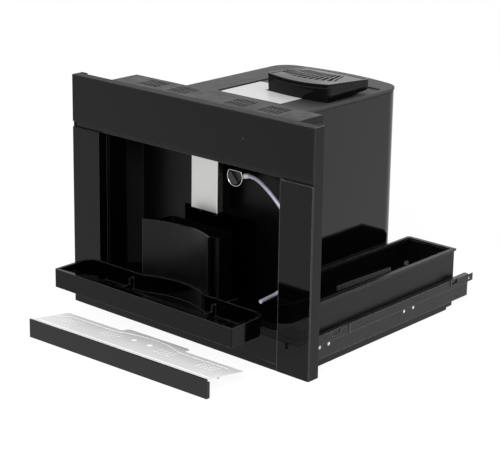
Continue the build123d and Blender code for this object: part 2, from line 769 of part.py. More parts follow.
# ---------------------------------------------------------------- steam connector, ring, hose and clip
with BuildPart() as steam_connector:
    with BuildSketch(Plane.XZ.offset(-connector_face)):
        with Locations((connector_x, connector_z)):
            Circle(connector_radius)
    extrude(amount=-(niche_back - connector_face))
    with BuildSketch(Plane.XZ.offset(-niche_back)):
        with Locations((connector_x, connector_z)):
            Circle(pipe_radius + 3)
    extrude(amount=-(moulded + 2))
    # outlet spigot to the right
    with BuildSketch(Plane.YZ.offset(connector_x)):
        with Locations((hose_y, spigot_z)):
            Circle(hose_radius + spigot_wall)
    extrude(amount=spigot_end - connector_x - spigot_back)
keep(steam_connector, "steam_connector")

with BuildPart() as connector_ring:
    with BuildSketch(Plane.XY.offset(connector_z)):
        with Locations((connector_x + ring_radius, ring_y)):
            Circle(ring_wire)
    revolve(axis=Axis((connector_x, ring_y, connector_z), (0, 1, 0)))
    ring_reach = ring_radius + 2 * ring_wire
    span_box((connector_x - ring_reach, connector_x + ring_reach),
             (ring_y - ring_reach, ring_y + ring_reach),
             (connector_z + ring_flat, connector_z + ring_reach), Mode.SUBTRACT)
    bar_half_length = (ring_radius ** 2 - ring_flat ** 2) ** 0.5
    with BuildSketch(Plane.YZ.offset(connector_x - bar_half_length)):
        with Locations((ring_y, connector_z + ring_flat)):
            Circle(ring_wire)
    extrude(amount=2 * bar_half_length)
keep(connector_ring, "connector_ring")

tap_front = ring_y - ring_wire - 1
with BuildPart() as connector_tap:
    with BuildSketch(Plane.XZ.offset(-tap_front)):
        with Locations((connector_x, connector_z)):
            Circle(tap_radius)
        with Locations(Location((connector_x, connector_z), -tap_slope)):
            with Locations((0, tap_radius)):
                Rectangle(4 * tap_radius, 2 * tap_radius, mode=Mode.SUBTRACT)
        with Locations((connector_x, connector_z + ring_flat - ring_wire - gap + tap_radius)):
            Rectangle(4 * tap_radius, 2 * tap_radius, mode=Mode.SUBTRACT)
    extrude(amount=-(connector_face - gap - tap_front))
keep(connector_tap, "connector_tap")

# Route of the free steam hose: out to the right, down behind the right pillar, back to the front.
hose_low = tray_top + hose_radius + tray_side_gap
across, above = niche_half - connector_x, spigot_z - hose_low
hose_shares = (
    # share of the way to the right wall, Y, share of the height of the spigot
    (0.2342, hose_y, 1.0177), (0.4205, hose_y, 0.9417), (0.6068, 71.0, 0.8200), (0.7677, 71.0, 0.6861),
    (0.8665, 74.0, 0.5492), (0.8975, 79.0, 0.4082), (0.8696, 84.0, 0.2662), (0.8199, 81.5, 0.1471),
    (0.7484, 70.0, 0.0507), (0.6988, 50.0, 0.0), (0.7137, 27.0, 0.0), (0.7323, 4.0, 0.0),
)
hose_route = [(spigot_end, hose_y, spigot_z)]
hose_route += [(connector_x + u * across, y, hose_low + v * above) for u, y, v in hose_shares]


def corner_radii(points, share):
    """The arc at each inner point: a share of its shorter run over the tangent of half the turn."""
    radii = []
    for before, here, after in zip(points, points[1:], points[2:]):
        run_in, run_out = Vector(*here) - Vector(*before), Vector(*after) - Vector(*here)
        turn = run_in.get_angle(run_out)
        radii.append(share * min(run_in.length, run_out.length) / tan(radians(turn / 2)))
    return radii


hose_radii = corner_radii(hose_route, hose_run_share)
print("hose arc radii:", [round(r, 1) for r in hose_radii])
with BuildPart() as steam_hose:
    with BuildLine() as hose_line:
        FilletPolyline(*hose_route, radius=hose_radii)
    with BuildSketch(Plane(origin=hose_route[0], z_dir=hose_line.line % 0)):
        Circle(hose_radius)
        Circle(hose_bore, mode=Mode.SUBTRACT)
    sweep()
hose_length = sum(edge.length for edge in hose_line.edges())
hose_section = (hose_radius ** 2 - hose_bore ** 2) * 3.14159265
print(f"hose length {hose_length:.1f}, volume over section times length "
      f"{steam_hose.part.volume / (hose_length * hose_section):.4f}")
keep(steam_hose, "steam_hose")

clip_from, clip_to = Vector(*hose_route[6]), Vector(*hose_route[7])
clip_middle = (clip_from + clip_to) / 2
clip_plane = Plane(origin=clip_middle, z_dir=clip_to - clip_from)
corner_y = clip_middle.Y + clip_arm - (niche_back - niche_corner)
clip_end = niche_half - niche_corner + (niche_corner ** 2 - corner_y ** 2) ** 0.5 - 0.1
with BuildPart() as hose_clip:
    with BuildSketch(clip_plane.offset(-clip_length / 2)):
        Circle(hose_radius + 0.5 + clip_wall)
    extrude(amount=clip_length)
    span_box((clip_middle.X + hose_radius, clip_end), (clip_middle.Y - clip_arm, clip_middle.Y + clip_arm),
             (clip_middle.Z - clip_arm, clip_middle.Z + clip_arm))
    with BuildSketch(clip_plane.offset(-clip_length)):
        Circle(hose_radius + 0.5)
    extrude(amount=2 * clip_length, mode=Mode.SUBTRACT)
keep(hose_clip, "hose_clip")

# ---------------------------------------------------------------- body behind the frame
with BuildPart() as base_plate:
    span_box((-base_half, base_half), (liner_front, base_back), (0, skirt_height))
    span_box((-base_half + sheet, base_half - sheet), (liner_front, base_back),
             (base_thickness, skirt_height), Mode.SUBTRACT)
keep(base_plate, "base_plate")


def body_outline(grow):
    """Plan of the body with its bowed back, grown outwards by the given amount."""
    half, rear = body_half + grow, body_back + grow
    with BuildLine() as outline:
        ThreePointArc((-half, rear), (0, rear + body_bow), (half, rear))
        Polyline((half, rear), (half, liner_front), (-half, liner_front), (-half, rear))
    plan = make_face(outline.edges())
    fillet(plan.vertices().group_by(Axis.Y)[-1], body_corner + grow)


shell_bottom = base_thickness + gap
inlet_half = inlet_size[0] / 2
inlet_bottom = base_thickness + gap
inlet_back = body_back + body_bow - 2
with BuildPart() as body_shell:
    with BuildSketch(Plane.XY.offset(shell_bottom)):
        body_outline(0)
    extrude(amount=body_top - shell_bottom)
    with BuildSketch(Plane.XY.offset(shell_bottom)):
        body_outline(-moulded)
    extrude(amount=body_top - shell_bottom, mode=Mode.SUBTRACT)
    span_box((-niche_half, niche_half), (0, liner_outer_back + gap), (0, liner_top + moulded + gap),
             Mode.SUBTRACT)
    span_box((inlet_x - inlet_half - gap, inlet_x + inlet_half + gap), (body_back, body_back + body_bow + 1),
             (shell_bottom, inlet_bottom + inlet_size[2] + gap), Mode.SUBTRACT)
keep(body_shell, "body_shell")

recess_floor = cover_top - cover_recess
recess_centre = ((recess_left + recess_right) / 2, (recess_front + recess_back) / 2)
lid_centre = ((lid_left + lid_right) / 2, (lid_front + lid_back) / 2)
with BuildPart() as top_cover:
    with BuildSketch(Plane.XY.offset(cover_bottom)):
        body_outline(cover_lip)
    extrude(amount=cover_top - cover_bottom)
    upper_edges = top_cover.edges().group_by(Axis.Z)[-1]
    chamfer(upper_edges.filter_by(lambda e: e.center().Y > liner_front + 1), groove)
    with BuildSketch(Plane.XY.offset(body_top + gap)):
        body_outline(-cover_lip)
    extrude(amount=cover_bottom - body_top - gap)
    with BuildSketch(Plane.XY.offset(body_top + gap)):
        body_outline(-cover_lip - moulded)
    extrude(amount=cover_bottom - body_top - gap, mode=Mode.SUBTRACT)
    with BuildSketch(Plane.XY.offset(recess_floor)):
        with Locations(recess_centre):
            RectangleRounded(recess_right - recess_left, recess_back - recess_front, 6)
    extrude(amount=cover_recess, mode=Mode.SUBTRACT)
    with BuildSketch(Plane.XY.offset(cover_bottom)):
        with Locations(mouth_centre):
            RectangleRounded(2 * mouth_half, 2 * mouth_half, mouth_corner)
    extrude(amount=cover_top - cover_bottom, mode=Mode.SUBTRACT)
    span_box((-body_half - cover_lip, seam_x), (seam_front, seam_front + groove),
             (cover_top - groove, cover_top), Mode.SUBTRACT)
    span_box((seam_x - groove, seam_x), (seam_front, seam_back), (cover_top - groove, cover_top),
             Mode.SUBTRACT)
keep(top_cover, "top_cover")

with BuildPart() as top_plate:
    span_box((plate_left, plate_right), (plate_front, plate_mid),
             (recess_floor + 0.1, recess_floor + 0.1 + plate_sheet))
    span_box((plate_left, lid_left - 3), (plate_mid, plate_rear),
             (recess_floor + 0.1, recess_floor + 0.1 + plate_sheet))
keep(top_plate, "top_plate")

lid_base = recess_floor + gap
lid_slope = degrees(atan2(lid_front_top - lid_back_top, lid_back - lid_front))
lid_top_plane = Plane(origin=(lid_centre[0], lid_centre[1], (lid_front_top + lid_back_top) / 2),
                      x_dir=(1, 0, 0), z_dir=(0, sin(radians(lid_slope)), cos(radians(lid_slope))))
with BuildPart() as bean_lid:
    with BuildSketch(Plane.YZ.offset(lid_left)):
        with BuildLine():
            Polyline((lid_front, lid_base), (lid_front, lid_front_top), (lid_back, lid_back_top),
                     (lid_back, lid_base + lid_lift), (lid_front, lid_base))
        make_face()
    extrude(amount=lid_right - lid_left)
    fillet(bean_lid.edges().filter_by(Axis.Z), lid_corner)
    fillet(bean_lid.edges().filter_by(lambda e: e.center().Z > lid_back_top - 2), 1.5)
    with BuildSketch(lid_top_plane.offset(-lid_band)):
        Rectangle(2 * (lid_right - lid_left), 2 * (lid_back - lid_front))
        RectangleRounded(lid_right - lid_left - 2 * groove, lid_back - lid_front - 2 * groove,
                         lid_corner - groove, mode=Mode.SUBTRACT)
    extrude(amount=-groove, mode=Mode.SUBTRACT)
    with BuildSketch(Plane.XY.offset(lid_base)):
        with Locations(lid_centre):
            RectangleRounded(lid_right - lid_left - 2 * lid_wall, lid_back - lid_front - 2 * lid_wall,
                             lid_corner - lid_wall)
    extrude(amount=lid_back_top - lid_wall - lid_slot_depth - lid_base, mode=Mode.SUBTRACT)
    with BuildSketch(lid_top_plane):
        with Locations(lid_slot_shift):
            with GridLocations(*lid_slot_pitch, lid_slots, 2):
                Rectangle(*lid_slot_size, rotation=lid_slot_slant)
    extrude(amount=-lid_slot_depth, mode=Mode.SUBTRACT)
keep(bean_lid, "bean_lid")

with BuildPart() as lid_seal:
    with BuildSketch(Plane.XY.offset(recess_floor + 0.1)):
        with Locations(mouth_centre):
            RectangleRounded(2 * (mouth_half + seal_width), 2 * (mouth_half + seal_width),
                             mouth_corner + seal_width)
            RectangleRounded(2 * mouth_half, 2 * mouth_half, mouth_corner, mode=Mode.SUBTRACT)
    extrude(amount=seal_height)
keep(lid_seal, "lid_seal")

# ---------------------------------------------------------------- bean hopper, grinder, brewing group
hopper_wall, hopper_rim = 2.0, 2.0
rim_bottom = cover_bottom - gap - hopper_rim
with BuildPart() as bean_hopper:
    for inset, mode in ((0, Mode.ADD), (hopper_wall, Mode.SUBTRACT)):
        with BuildSketch(Plane.XY.offset(hopper_bottom)):
            with Locations(hopper_centre):
                RectangleRounded(2 * (hopper_neck - inset), 2 * (hopper_neck - inset), mouth_corner - inset)
        with BuildSketch(Plane.XY.offset(rim_bottom + hopper_rim)):
            with Locations(mouth_centre):
                RectangleRounded(2 * (mouth_half - inset), 2 * (mouth_half - inset), mouth_corner - inset)
        loft(mode=mode)
    with BuildSketch(Plane.XY.offset(rim_bottom)):
        with Locations(mouth_centre):
            RectangleRounded(2 * (mouth_half + 5), 2 * (mouth_half + 5), mouth_corner + 5)
            RectangleRounded(2 * (mouth_half - hopper_wall), 2 * (mouth_half - hopper_wall), mouth_corner,
                             mode=Mode.SUBTRACT)
    extrude(amount=hopper_rim)
keep(bean_hopper, "bean_hopper")

grinder_top = hopper_bottom - gap
housing_wall = 3.0
chamber_centre = (0.0, brew_front + brew_depth / 2)
with BuildPart() as grinder_housing:
    with BuildSketch(Plane.XY.offset(grinder_bottom)):
        with Locations(hopper_centre):
            Circle(grinder_radius)
    extrude(amount=grinder_top - grinder_bottom)
    with BuildSketch(Plane.XY.offset(grinder_bottom + 4)):
        with Locations(hopper_centre):
            Circle(grinder_radius - housing_wall)
    extrude(amount=grinder_top - grinder_bottom - 4 - housing_wall, mode=Mode.SUBTRACT)
    with BuildSketch(Plane.XY.offset(grinder_top - housing_wall)):
        with Locations(hopper_centre):
            Circle(hopper_neck - hopper_wall)
    extrude(amount=housing_wall, mode=Mode.SUBTRACT)
    with BuildSketch(Plane.XY.offset(grinder_bottom)):
        with Locations(hopper_centre):
            Circle(shaft_radius + gap)
    extrude(amount=4, mode=Mode.SUBTRACT)
    # chute to the brewing chamber
    chute_from = Vector(hopper_centre[0] - 18, hopper_centre[1] - grinder_radius + 8, grinder_bottom + 12)
    chute_to = Vector(chamber_centre[0] + 6, chamber_centre[1] + 8, brew_top + 6)
    with BuildSketch(Plane(origin=chute_from, z_dir=chute_to - chute_from)):
        Rectangle(18, 14)
    extrude(amount=(chute_to - chute_from).length)
    with BuildSketch(Plane(origin=chute_from, z_dir=chute_to - chute_from).offset(-6)):
        Rectangle(14, 10)
    extrude(amount=(chute_to - chute_from).length + 12, mode=Mode.SUBTRACT)
keep(grinder_housing, "grinder_housing")

motor_top = grinder_bottom - gap
shaft_depth = motor_height / 3
burr_bottom = grinder_bottom + burr_lift
with BuildPart() as grinder_burr:
    with BuildSketch(Plane.XY.offset(motor_top - shaft_depth)):
        with Locations(hopper_centre):
            Circle(shaft_radius)
    extrude(amount=burr_bottom + burr_disc - motor_top + shaft_depth)
    with BuildSketch(Plane.XY.offset(burr_bottom)):
        with Locations(hopper_centre):
            Circle(burr_radius + burr_rim)
    extrude(amount=burr_disc)
    with BuildSketch(Plane.XY.offset(burr_bottom + burr_disc)):
        with Locations(hopper_centre):
            Circle(burr_radius)
    extrude(amount=burr_cone, taper=22)
    with BuildSketch(Plane.XY.offset(burr_bottom)):
        with Locations(hopper_centre):
            with PolarLocations(burr_radius + burr_rim, 10):
                Rectangle(burr_rim / 2, burr_rim / 3)
    extrude(amount=burr_disc, mode=Mode.SUBTRACT)
keep(grinder_burr, "grinder_burr")

with BuildPart() as grinder_motor:
    with BuildSketch(Plane.XY.offset(motor_bottom)):
        with Locations(hopper_centre):
            Circle(motor_radius)
    extrude(amount=motor_top - motor_bottom)
    chamfer(grinder_motor.edges().filter_by(GeomType.CIRCLE), 2)
    with BuildSketch(Plane.XY.offset(motor_top - shaft_depth - gap)):
        with Locations(hopper_centre):
            Circle(shaft_radius + gap)
    extrude(amount=shaft_depth + gap, mode=Mode.SUBTRACT)
keep(grinder_motor, "grinder_motor")

bracket_half = motor_radius + 4
bracket_top = motor_bottom - gap
on_channel = channel_top + gap
with BuildPart() as grinder_bracket:
    span_box((hopper_centre[0] - bracket_half, hopper_centre[0] + bracket_half),
             (hopper_centre[1] - bracket_half, hopper_centre[1] + bracket_half),
             (bracket_top - bracket_leg, bracket_top))
    with BuildSketch(Plane.XY.offset(on_channel)):
        with Locations(hopper_centre):
            with GridLocations(2 * bracket_half - 8, 2 * bracket_half - 8, 2, 2):
                Rectangle(8, 8)
                Rectangle(8 - 2 * bracket_leg, 8 - 2 * bracket_leg, mode=Mode.SUBTRACT)
    extrude(amount=bracket_top - bracket_leg - on_channel)
keep(grinder_bracket, "grinder_bracket")

with BuildPart() as brew_unit:
    with BuildSketch(Plane.XY.offset(on_channel)):
        with Locations(chamber_centre):
            RectangleRounded(2 * brew_half, brew_depth, 5)
    extrude(amount=brew_top - on_channel)
    with BuildSketch(Plane.XY.offset(on_channel + brew_foot)):
        with Locations(chamber_centre):
            Circle(chamber_radius)
    extrude(amount=brew_top - on_channel, mode=Mode.SUBTRACT)
    with BuildSketch(Plane.XY.offset(on_channel)):
        with Locations(chamber_centre):
            Circle(piston_rod + gap)
    extrude(amount=brew_foot, mode=Mode.SUBTRACT)
keep(brew_unit, "brew_unit")

piston_bottom = on_channel + piston_lift
with BuildPart() as brew_piston:
    with BuildSketch(Plane.XY.offset(piston_bottom)):
        with Locations(chamber_centre):
            Circle(piston_radius)
    extrude(amount=piston_height)
    with BuildSketch(Plane.XY.offset(on_channel + gap)):
        with Locations(chamber_centre):
            Circle(piston_rod)
    extrude(amount=piston_bottom - on_channel - gap)
keep(brew_piston, "brew_piston")

with BuildPart() as boiler:
    with BuildSketch(Plane.XY.offset(on_channel)):
        with Locations(boiler_centre):
            RectangleRounded(boiler_size[0], boiler_size[1], 10)
    extrude(amount=boiler_size[2])
    chamfer(boiler.edges().group_by(Axis.Z)[-1], 3)
keep(boiler, "boiler")

with BuildPart() as pump:
    with BuildSketch(Plane.XZ.offset(-pump_front)):
        with Locations((pump_centre[0], pump_axis_z)):
            Circle(pump_radius)
    extrude(amount=-pump_length)
    chamfer(pump.edges().filter_by(GeomType.CIRCLE), 2)
keep(pump, "pump")

with BuildPart() as pump_mounts:
    for y in (pump_front + 28, pump_front + pump_length - 14):
        span_box((pump_centre[0] - 18, pump_centre[0] + 18), (y - 5, y + 5),
                 (base_thickness + 0.1, pump_axis_z - 14))
    with BuildSketch(Plane.XZ.offset(-pump_front)):
        with Locations((pump_centre[0], pump_axis_z)):
            Circle(pump_radius + 0.1)
    extrude(amount=-pump_length, mode=Mode.SUBTRACT)
keep(pump_mounts, "pump_mounts")

tank_outer = -body_half + moulded + 0.5
with BuildPart() as water_tank:
    with BuildSketch(Plane.XY.offset(shell_bottom)):
        with Locations(((tank_outer + tank_inner) / 2, (tank_front + tank_back) / 2)):
            RectangleRounded(tank_inner - tank_outer, tank_back - tank_front, 6)
    extrude(amount=tank_top - shell_bottom)
    with BuildSketch(Plane.XY.offset(shell_bottom + tank_wall)):
        with Locations(((tank_outer + tank_inner) / 2, (tank_front + tank_back) / 2)):
            RectangleRounded(tank_inner - tank_outer - 2 * tank_wall,
                             tank_back - tank_front - 2 * tank_wall, 4)
    extrude(amount=tank_top - shell_bottom, mode=Mode.SUBTRACT)
keep(water_tank, "water_tank")

boiler_top = on_channel + boiler_size[2]
rise = (boiler_centre[0] - 15, boiler_centre[1] - 30)
pipe_height = body_top - pipe_drop
pipe_runs = (
    ((rise[0], rise[1], boiler_top + gap), (rise[0], rise[1], pipe_height), (rise[0], 120, pipe_height),
     (connector_x, 120, pipe_height), (connector_x, 120, connector_z),
     (connector_x, liner_outer_back + 2 + gap, connector_z)),
    ((tank_inner + gap, tank_pipe_y, pump_axis_z), (pump_centre[0], tank_pipe_y, pump_axis_z),
     (pump_centre[0], pump_front - gap, pump_axis_z)),
)
with BuildPart() as water_pipes:
    for run in pipe_runs:
        with BuildLine() as pipe_line:
            FilletPolyline(*run, radius=9)
        with BuildSketch(Plane(origin=run[0], z_dir=pipe_line.line % 0)):
            Circle(pipe_radius)
            Circle(pipe_radius - 1, mode=Mode.SUBTRACT)
        sweep()
    with BuildSketch(Plane.XY.offset(pump_axis_z + pump_radius + gap)):
        with Locations(pump_outlet):
            Circle(pipe_radius)
            Circle(pipe_radius - 1, mode=Mode.SUBTRACT)
    extrude(amount=on_channel - gap - pump_axis_z - pump_radius - gap)
keep(water_pipes, "water_pipes")

board_face = body_half - moulded - board_standoff
with BuildPart() as power_board:
    with Locations((board_face - power_board_size[0] / 2, board_middle[0], board_middle[1])):
        Box(*power_board_size)
    with BuildSketch(Plane.YZ.offset(board_face)):
        with Locations(board_middle):
            with GridLocations(power_board_size[1] - 16, power_board_size[2] - 16, 2, 2):
                Circle(3)
    extrude(amount=board_standoff - gap)
    with BuildSketch(Plane.YZ.offset(board_face - power_board_size[0])):
        with Locations(*[(board_middle[0] + end * block_offset[0], board_middle[1] - end * block_offset[1])
                         for end in (-1, 1)]):
            Rectangle(block_size[1], block_size[2])
    extrude(amount=-block_size[0])
keep(power_board, "power_board")

with BuildPart() as mains_inlet:
    span_box((inlet_x - inlet_half, inlet_x + inlet_half), (inlet_back - inlet_size[1], inlet_back),
             (inlet_bottom, inlet_bottom + inlet_size[2]))
    span_box((inlet_x - inlet_half + 3, inlet_x + inlet_half - 3), (inlet_back - 12, inlet_back),
             (inlet_bottom + 4, inlet_bottom + inlet_size[2] - 4), Mode.SUBTRACT)
    with BuildSketch(Plane.XZ.offset(-inlet_back + 12)):
        with Locations(*[(inlet_x + x, inlet_bottom + inlet_size[2] / 2 + z) for x, z in
                         ((-7, -1.5), (0, 1.5), (7, -1.5))]):
            Rectangle(2, 4)
    extrude(amount=-5)
keep(mains_inlet, "mains_inlet")

# ---------------------------------------------------------------- side compartment and left support
def compartment_plan(inset, radius):
    """L-shaped plan of the compartment, which narrows beside the niche, shrunk by an inset."""
    with Locations(((box_inner + box_outer) / 2, (box_front + box_back) / 2)):
        Rectangle(box_outer - box_inner - 2 * inset, box_back - box_front - 2 * inset)
    with Locations(((box_neck + box_outer) / 2, (box_neck_front + box_back) / 2)):
        Rectangle(box_outer - box_neck - 2 * inset, box_back - box_neck_front - 2 * inset)
    fillet(vertices(), radius)


with BuildPart() as side_compartment:
    with BuildSketch(Plane.XY.offset(box_bottom)):
        compartment_plan(0, 3)
    extrude(amount=box_top - box_bottom)
    span_box((box_outer, box_outer + box_rim_over), (box_neck_front + 3, box_back + box_rim_over),
             (box_top - box_rim_height, box_top))
    span_box((box_inner + 3, box_outer), (box_back, box_back + box_rim_over),
             (box_top - box_rim_height, box_top))
    for inset, floor, top in ((moulded, box_bottom + moulded, ledge_top - moulded),
                              (ledge_width, ledge_top - moulded, ledge_top),
                              (moulded, ledge_top, box_top - box_rim_height),
                              (box_rim, box_top - box_rim_height, box_top)):
        with BuildSketch(Plane.XY.offset(floor)):
            compartment_plan(inset, 1)
        extrude(amount=top - floor, mode=Mode.SUBTRACT)
keep(side_compartment, "side_compartment")

strip_x = box_inner + moulded + gap
rib_pitch = (strip_back - strip_front) / strip_ribs
with BuildPart() as side_strip:
    span_box((strip_x, strip_x + 0.8 * rib_rise), (strip_front, strip_back),
             (strip_back_span[0], strip_front_span[1]))
    for step in range(strip_ribs):
        rib_start = strip_front + rib_pitch * (step + 0.25)
        span_box((strip_x, strip_x + 1.6 * rib_rise), (rib_start, rib_start + rib_pitch / 2),
                 (strip_back_span[0], strip_front_span[1]))
    # the strip narrows and falls towards the back
    with BuildSketch(Plane.YZ.offset(strip_x)):
        with BuildLine():
            Polyline((strip_front, strip_front_span[0]), (strip_back, strip_back_span[0]),
                     (strip_back, strip_back_span[1]), (strip_front, strip_front_span[1]),
                     (strip_front, strip_front_span[0]))
        make_face()
    extrude(amount=1.6 * rib_rise, mode=Mode.INTERSECT)
keep(side_strip, "side_strip")

clip_back = box_back - moulded - 3.5
with BuildPart() as compartment_clip:
    span_box((strip_x, strip_x + 5), (clip_back - 7, clip_back), (strip_back_span[0], strip_back_span[1]))
    span_box((strip_x + 5, strip_x + 7), (clip_back - 5, clip_back - 2),
             (strip_back_span[0], strip_back_span[1]))
keep(compartment_clip, "compartment_clip")

with BuildPart() as left_support:
    span_box((-box_outer, -box_outer + sheet), (runner_front, inner_back), (box_bottom, support_height))
    span_box((-box_outer, -box_outer + support_foot), (runner_front, inner_back),
             (box_bottom, box_bottom + sheet))
keep(left_support, "left_support")

# ---------------------------------------------------------------- telescopic runners
runner_top = runner_bottom + runner_height
outer_flange = box_outer + member_sheet + member_gap
members = (
    # name, web inner face, flange reach, sheet, inset of the top and bottom, back end
    ("outer", runner_face - runner_sheet, outer_flange, runner_sheet, 0.0, outer_back),
    ("middle", runner_face - runner_sheet - member_gap - member_sheet,
     outer_flange + member_gap, member_sheet,
     runner_sheet + member_gap, middle_back),
    ("inner", box_outer, runner_face - runner_sheet - 2 * member_gap - member_sheet, member_sheet,
     runner_sheet + member_sheet + 2 * member_gap, inner_back),
)
for side, hand in ((-1, "left"), (1, "right")):
    for name, web, flange, thick, inset, back in members:
        with BuildPart() as runner:
            low, high = runner_bottom + inset, runner_top - inset
            span_box(sorted((side * web, side * (web + thick))), (runner_front, back), (low, high))
            for z in (low, high - thick):
                span_box(sorted((side * min(web, flange), side * max(web + thick, flange))),
                         (runner_front, back), (z, z + thick))
            if name == "outer":
                with Locations(*[Location((side * runner_face, y, screw_hole_z), (0, 90, 0))
                                 for y in screw_hole_ys]):
                    Cylinder(screw_hole_radius + 1, 2 * runner_height / 9, mode=Mode.SUBTRACT)
        keep(runner, f"{hand}_{name}_runner")

bracket_face = runner_face + bracket_thickness
for side, name in ((-1, "left_bracket"), (1, "right_bracket")):
    with BuildPart() as bracket:
        plate = sorted((side * runner_face, side * bracket_face))
        frame = sorted((side * runner_face, side * (bracket_face + bracket_thickness)))
        for front, back, top in bracket_spans:
            span_box(plate, (front, back), (bracket_bottom, top))
        span_box(plate, (bracket_step, outer_back - 1), (bracket_bottom, runner_top))
        span_box(plate, (outer_back - 1, bracket_tip), bracket_tip_span)
        span_box(frame, (bracket_step, bracket_step + 2 * bracket_thickness), (bracket_bottom, runner_top))
        span_box(frame, latch_span, (latch_low, runner_top + latch_frame))
        span_box(frame, (latch_span[0] + latch_frame, latch_span[1] - latch_frame),
                 (latch_low + latch_frame, runner_top), Mode.SUBTRACT)
        with Locations(*[Location((side * runner_face, y, screw_hole_z), (0, 90, 0))
                         for y in (*tab_hole_ys, *screw_hole_ys, tip_hole_y)]):
            Cylinder(screw_hole_radius, 4 * bracket_thickness, mode=Mode.SUBTRACT)
    keep(bracket, name)

with BuildPart() as runner_screws:
    for side in (-1, 1):
        with BuildSketch(Plane.YZ.offset(side * (runner_face + 0.1))):
            with Locations(*[(y, screw_z) for y in screw_ys]):
                Circle(screw_head_radius)
        extrude(amount=side * screw_head_height)
        with BuildSketch(Plane.YZ.offset(side * (runner_face + 0.1 + screw_head_height))):
            with Locations(*[(y, screw_z) for y in screw_ys]):
                Rectangle(4.4, 1)
                Rectangle(1, 4.4)
        extrude(amount=-side * screw_head_height / 2, mode=Mode.SUBTRACT)
keep(runner_screws, "runner_screws")
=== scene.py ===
"""Looks of a built-in coffee machine with its tray drawn out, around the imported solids.

Metres, in the frame of the solids: X to the right, Y back from the front face, Z up.
"""

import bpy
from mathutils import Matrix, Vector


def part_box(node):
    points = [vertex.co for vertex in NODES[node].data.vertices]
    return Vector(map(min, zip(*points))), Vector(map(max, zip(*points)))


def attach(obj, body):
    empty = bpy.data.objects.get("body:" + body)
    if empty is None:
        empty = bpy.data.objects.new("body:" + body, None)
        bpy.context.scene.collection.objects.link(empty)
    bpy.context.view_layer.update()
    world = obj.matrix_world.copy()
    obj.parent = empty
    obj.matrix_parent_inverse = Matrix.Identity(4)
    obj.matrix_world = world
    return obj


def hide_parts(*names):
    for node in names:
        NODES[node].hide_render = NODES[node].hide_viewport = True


bl_info = {
    "name": "Built-in coffee machine",
    "version": (1, 0, 0),
    "blender": (4, 5, 0),
    "location": "View3D > Sidebar > Coffee machine",
    "description": "Dresses the solids of a built-in coffee machine and lights them in a studio",
    "category": "Object",
}

import bpy
import numpy as np
from mathutils import Matrix, Vector

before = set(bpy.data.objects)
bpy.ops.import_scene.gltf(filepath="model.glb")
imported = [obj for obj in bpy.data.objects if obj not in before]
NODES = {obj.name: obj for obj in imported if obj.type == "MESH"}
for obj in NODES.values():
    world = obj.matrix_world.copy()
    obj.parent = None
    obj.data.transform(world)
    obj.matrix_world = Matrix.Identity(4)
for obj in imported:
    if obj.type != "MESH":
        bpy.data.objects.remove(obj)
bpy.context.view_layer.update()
MM = 0.001
PHOTO_WIDTH = 500  # pixels


# ---------------------------------------------------------------- surfaces
def mesh_object(name, points, faces):
    """A smooth object from an array of points and a list of faces."""
    mesh = bpy.data.meshes.new(name)
    mesh.from_pydata(points.tolist(), [], faces)
    mesh.validate()
    mesh.polygons.foreach_set("use_smooth", np.ones(len(mesh.polygons), bool))
    piece = bpy.data.objects.new(name, mesh)
    bpy.context.scene.collection.objects.link(piece)
    return piece


def quads(*corners):
    """Faces of four corners, from four arrays that give each corner's point."""
    return np.stack(np.broadcast_arrays(*corners), axis=-1).reshape(-1, 4)


def grid_object(name, points, wrapped=False):
    """An object whose mesh joins an array of points (rows u, columns v) into quads.

    Each quad joins point (u, v) with its neighbours at u + 1 and v + 1. In a wrapped grid the last row and
    column join the first ones.
    """
    rows, columns = points.shape[:2]
    unjoined = 0 if wrapped else 1
    u, v = np.ogrid[:rows - unjoined, :columns - unjoined]
    u_next, v_next = (u + 1) % rows, (v + 1) % columns
    faces = quads(u * columns + v, u_next * columns + v, u_next * columns + v_next, u * columns + v_next)
    return mesh_object(name, points.reshape(-1, 3), faces.tolist())


def turned_piece(name, start, axis, along, reach, sides=40):
    """A closed profile turned about a line: point = start + along * axis + reach * ring.

    The ring is cos t * side + sin t * across, with side and across square to the axis.
    """
    side = np.cross(axis, (0, 0, 1))
    side /= np.linalg.norm(side)
    across = np.cross(axis, side)
    turn = np.linspace(0, 2 * np.pi, sides, endpoint=False)
    ring = np.cos(turn)[:, None] * side + np.sin(turn)[:, None] * across
    points = start + along[None, :, None] * axis + reach[None, :, None] * ring[:, None, :]
    return grid_object(name, points, wrapped=True)


def wire_piece(name, path, normal, radius, sides=12):
    """A closed wire in a plane: point = path + radius * (cos t * outward + sin t * normal)."""
    ahead = np.roll(path, -1, axis=0) - np.roll(path, 1, axis=0)
    outward = np.cross(normal, ahead)
    outward /= np.linalg.norm(outward, axis=1, keepdims=True)
    turn = np.linspace(0, 2 * np.pi, sides, endpoint=False)[None, :, None]
    points = path[:, None] + radius * (np.cos(turn) * outward[:, None] + np.sin(turn) * np.array(normal))
    return grid_object(name, points, wrapped=True)


def crease(piece, angle):
    """Shades the edges of a piece that are sharper than an angle in degrees as creases."""
    piece.modifiers.new("creases", "EDGE_SPLIT").split_angle = np.radians(angle)


def smooth_step(value):
    """0 below 0, 1 above 1 and the curve 3 t^2 - 2 t^3 between."""
    t = np.clip(value, 0, 1)
    return t * t * (3 - 2 * t)


def front_share(y, half):
    """0 at the lid's back edge and 1 at its front edge, where y counts back from its middle."""
    return 0.5 - 0.5 * y / half[1]


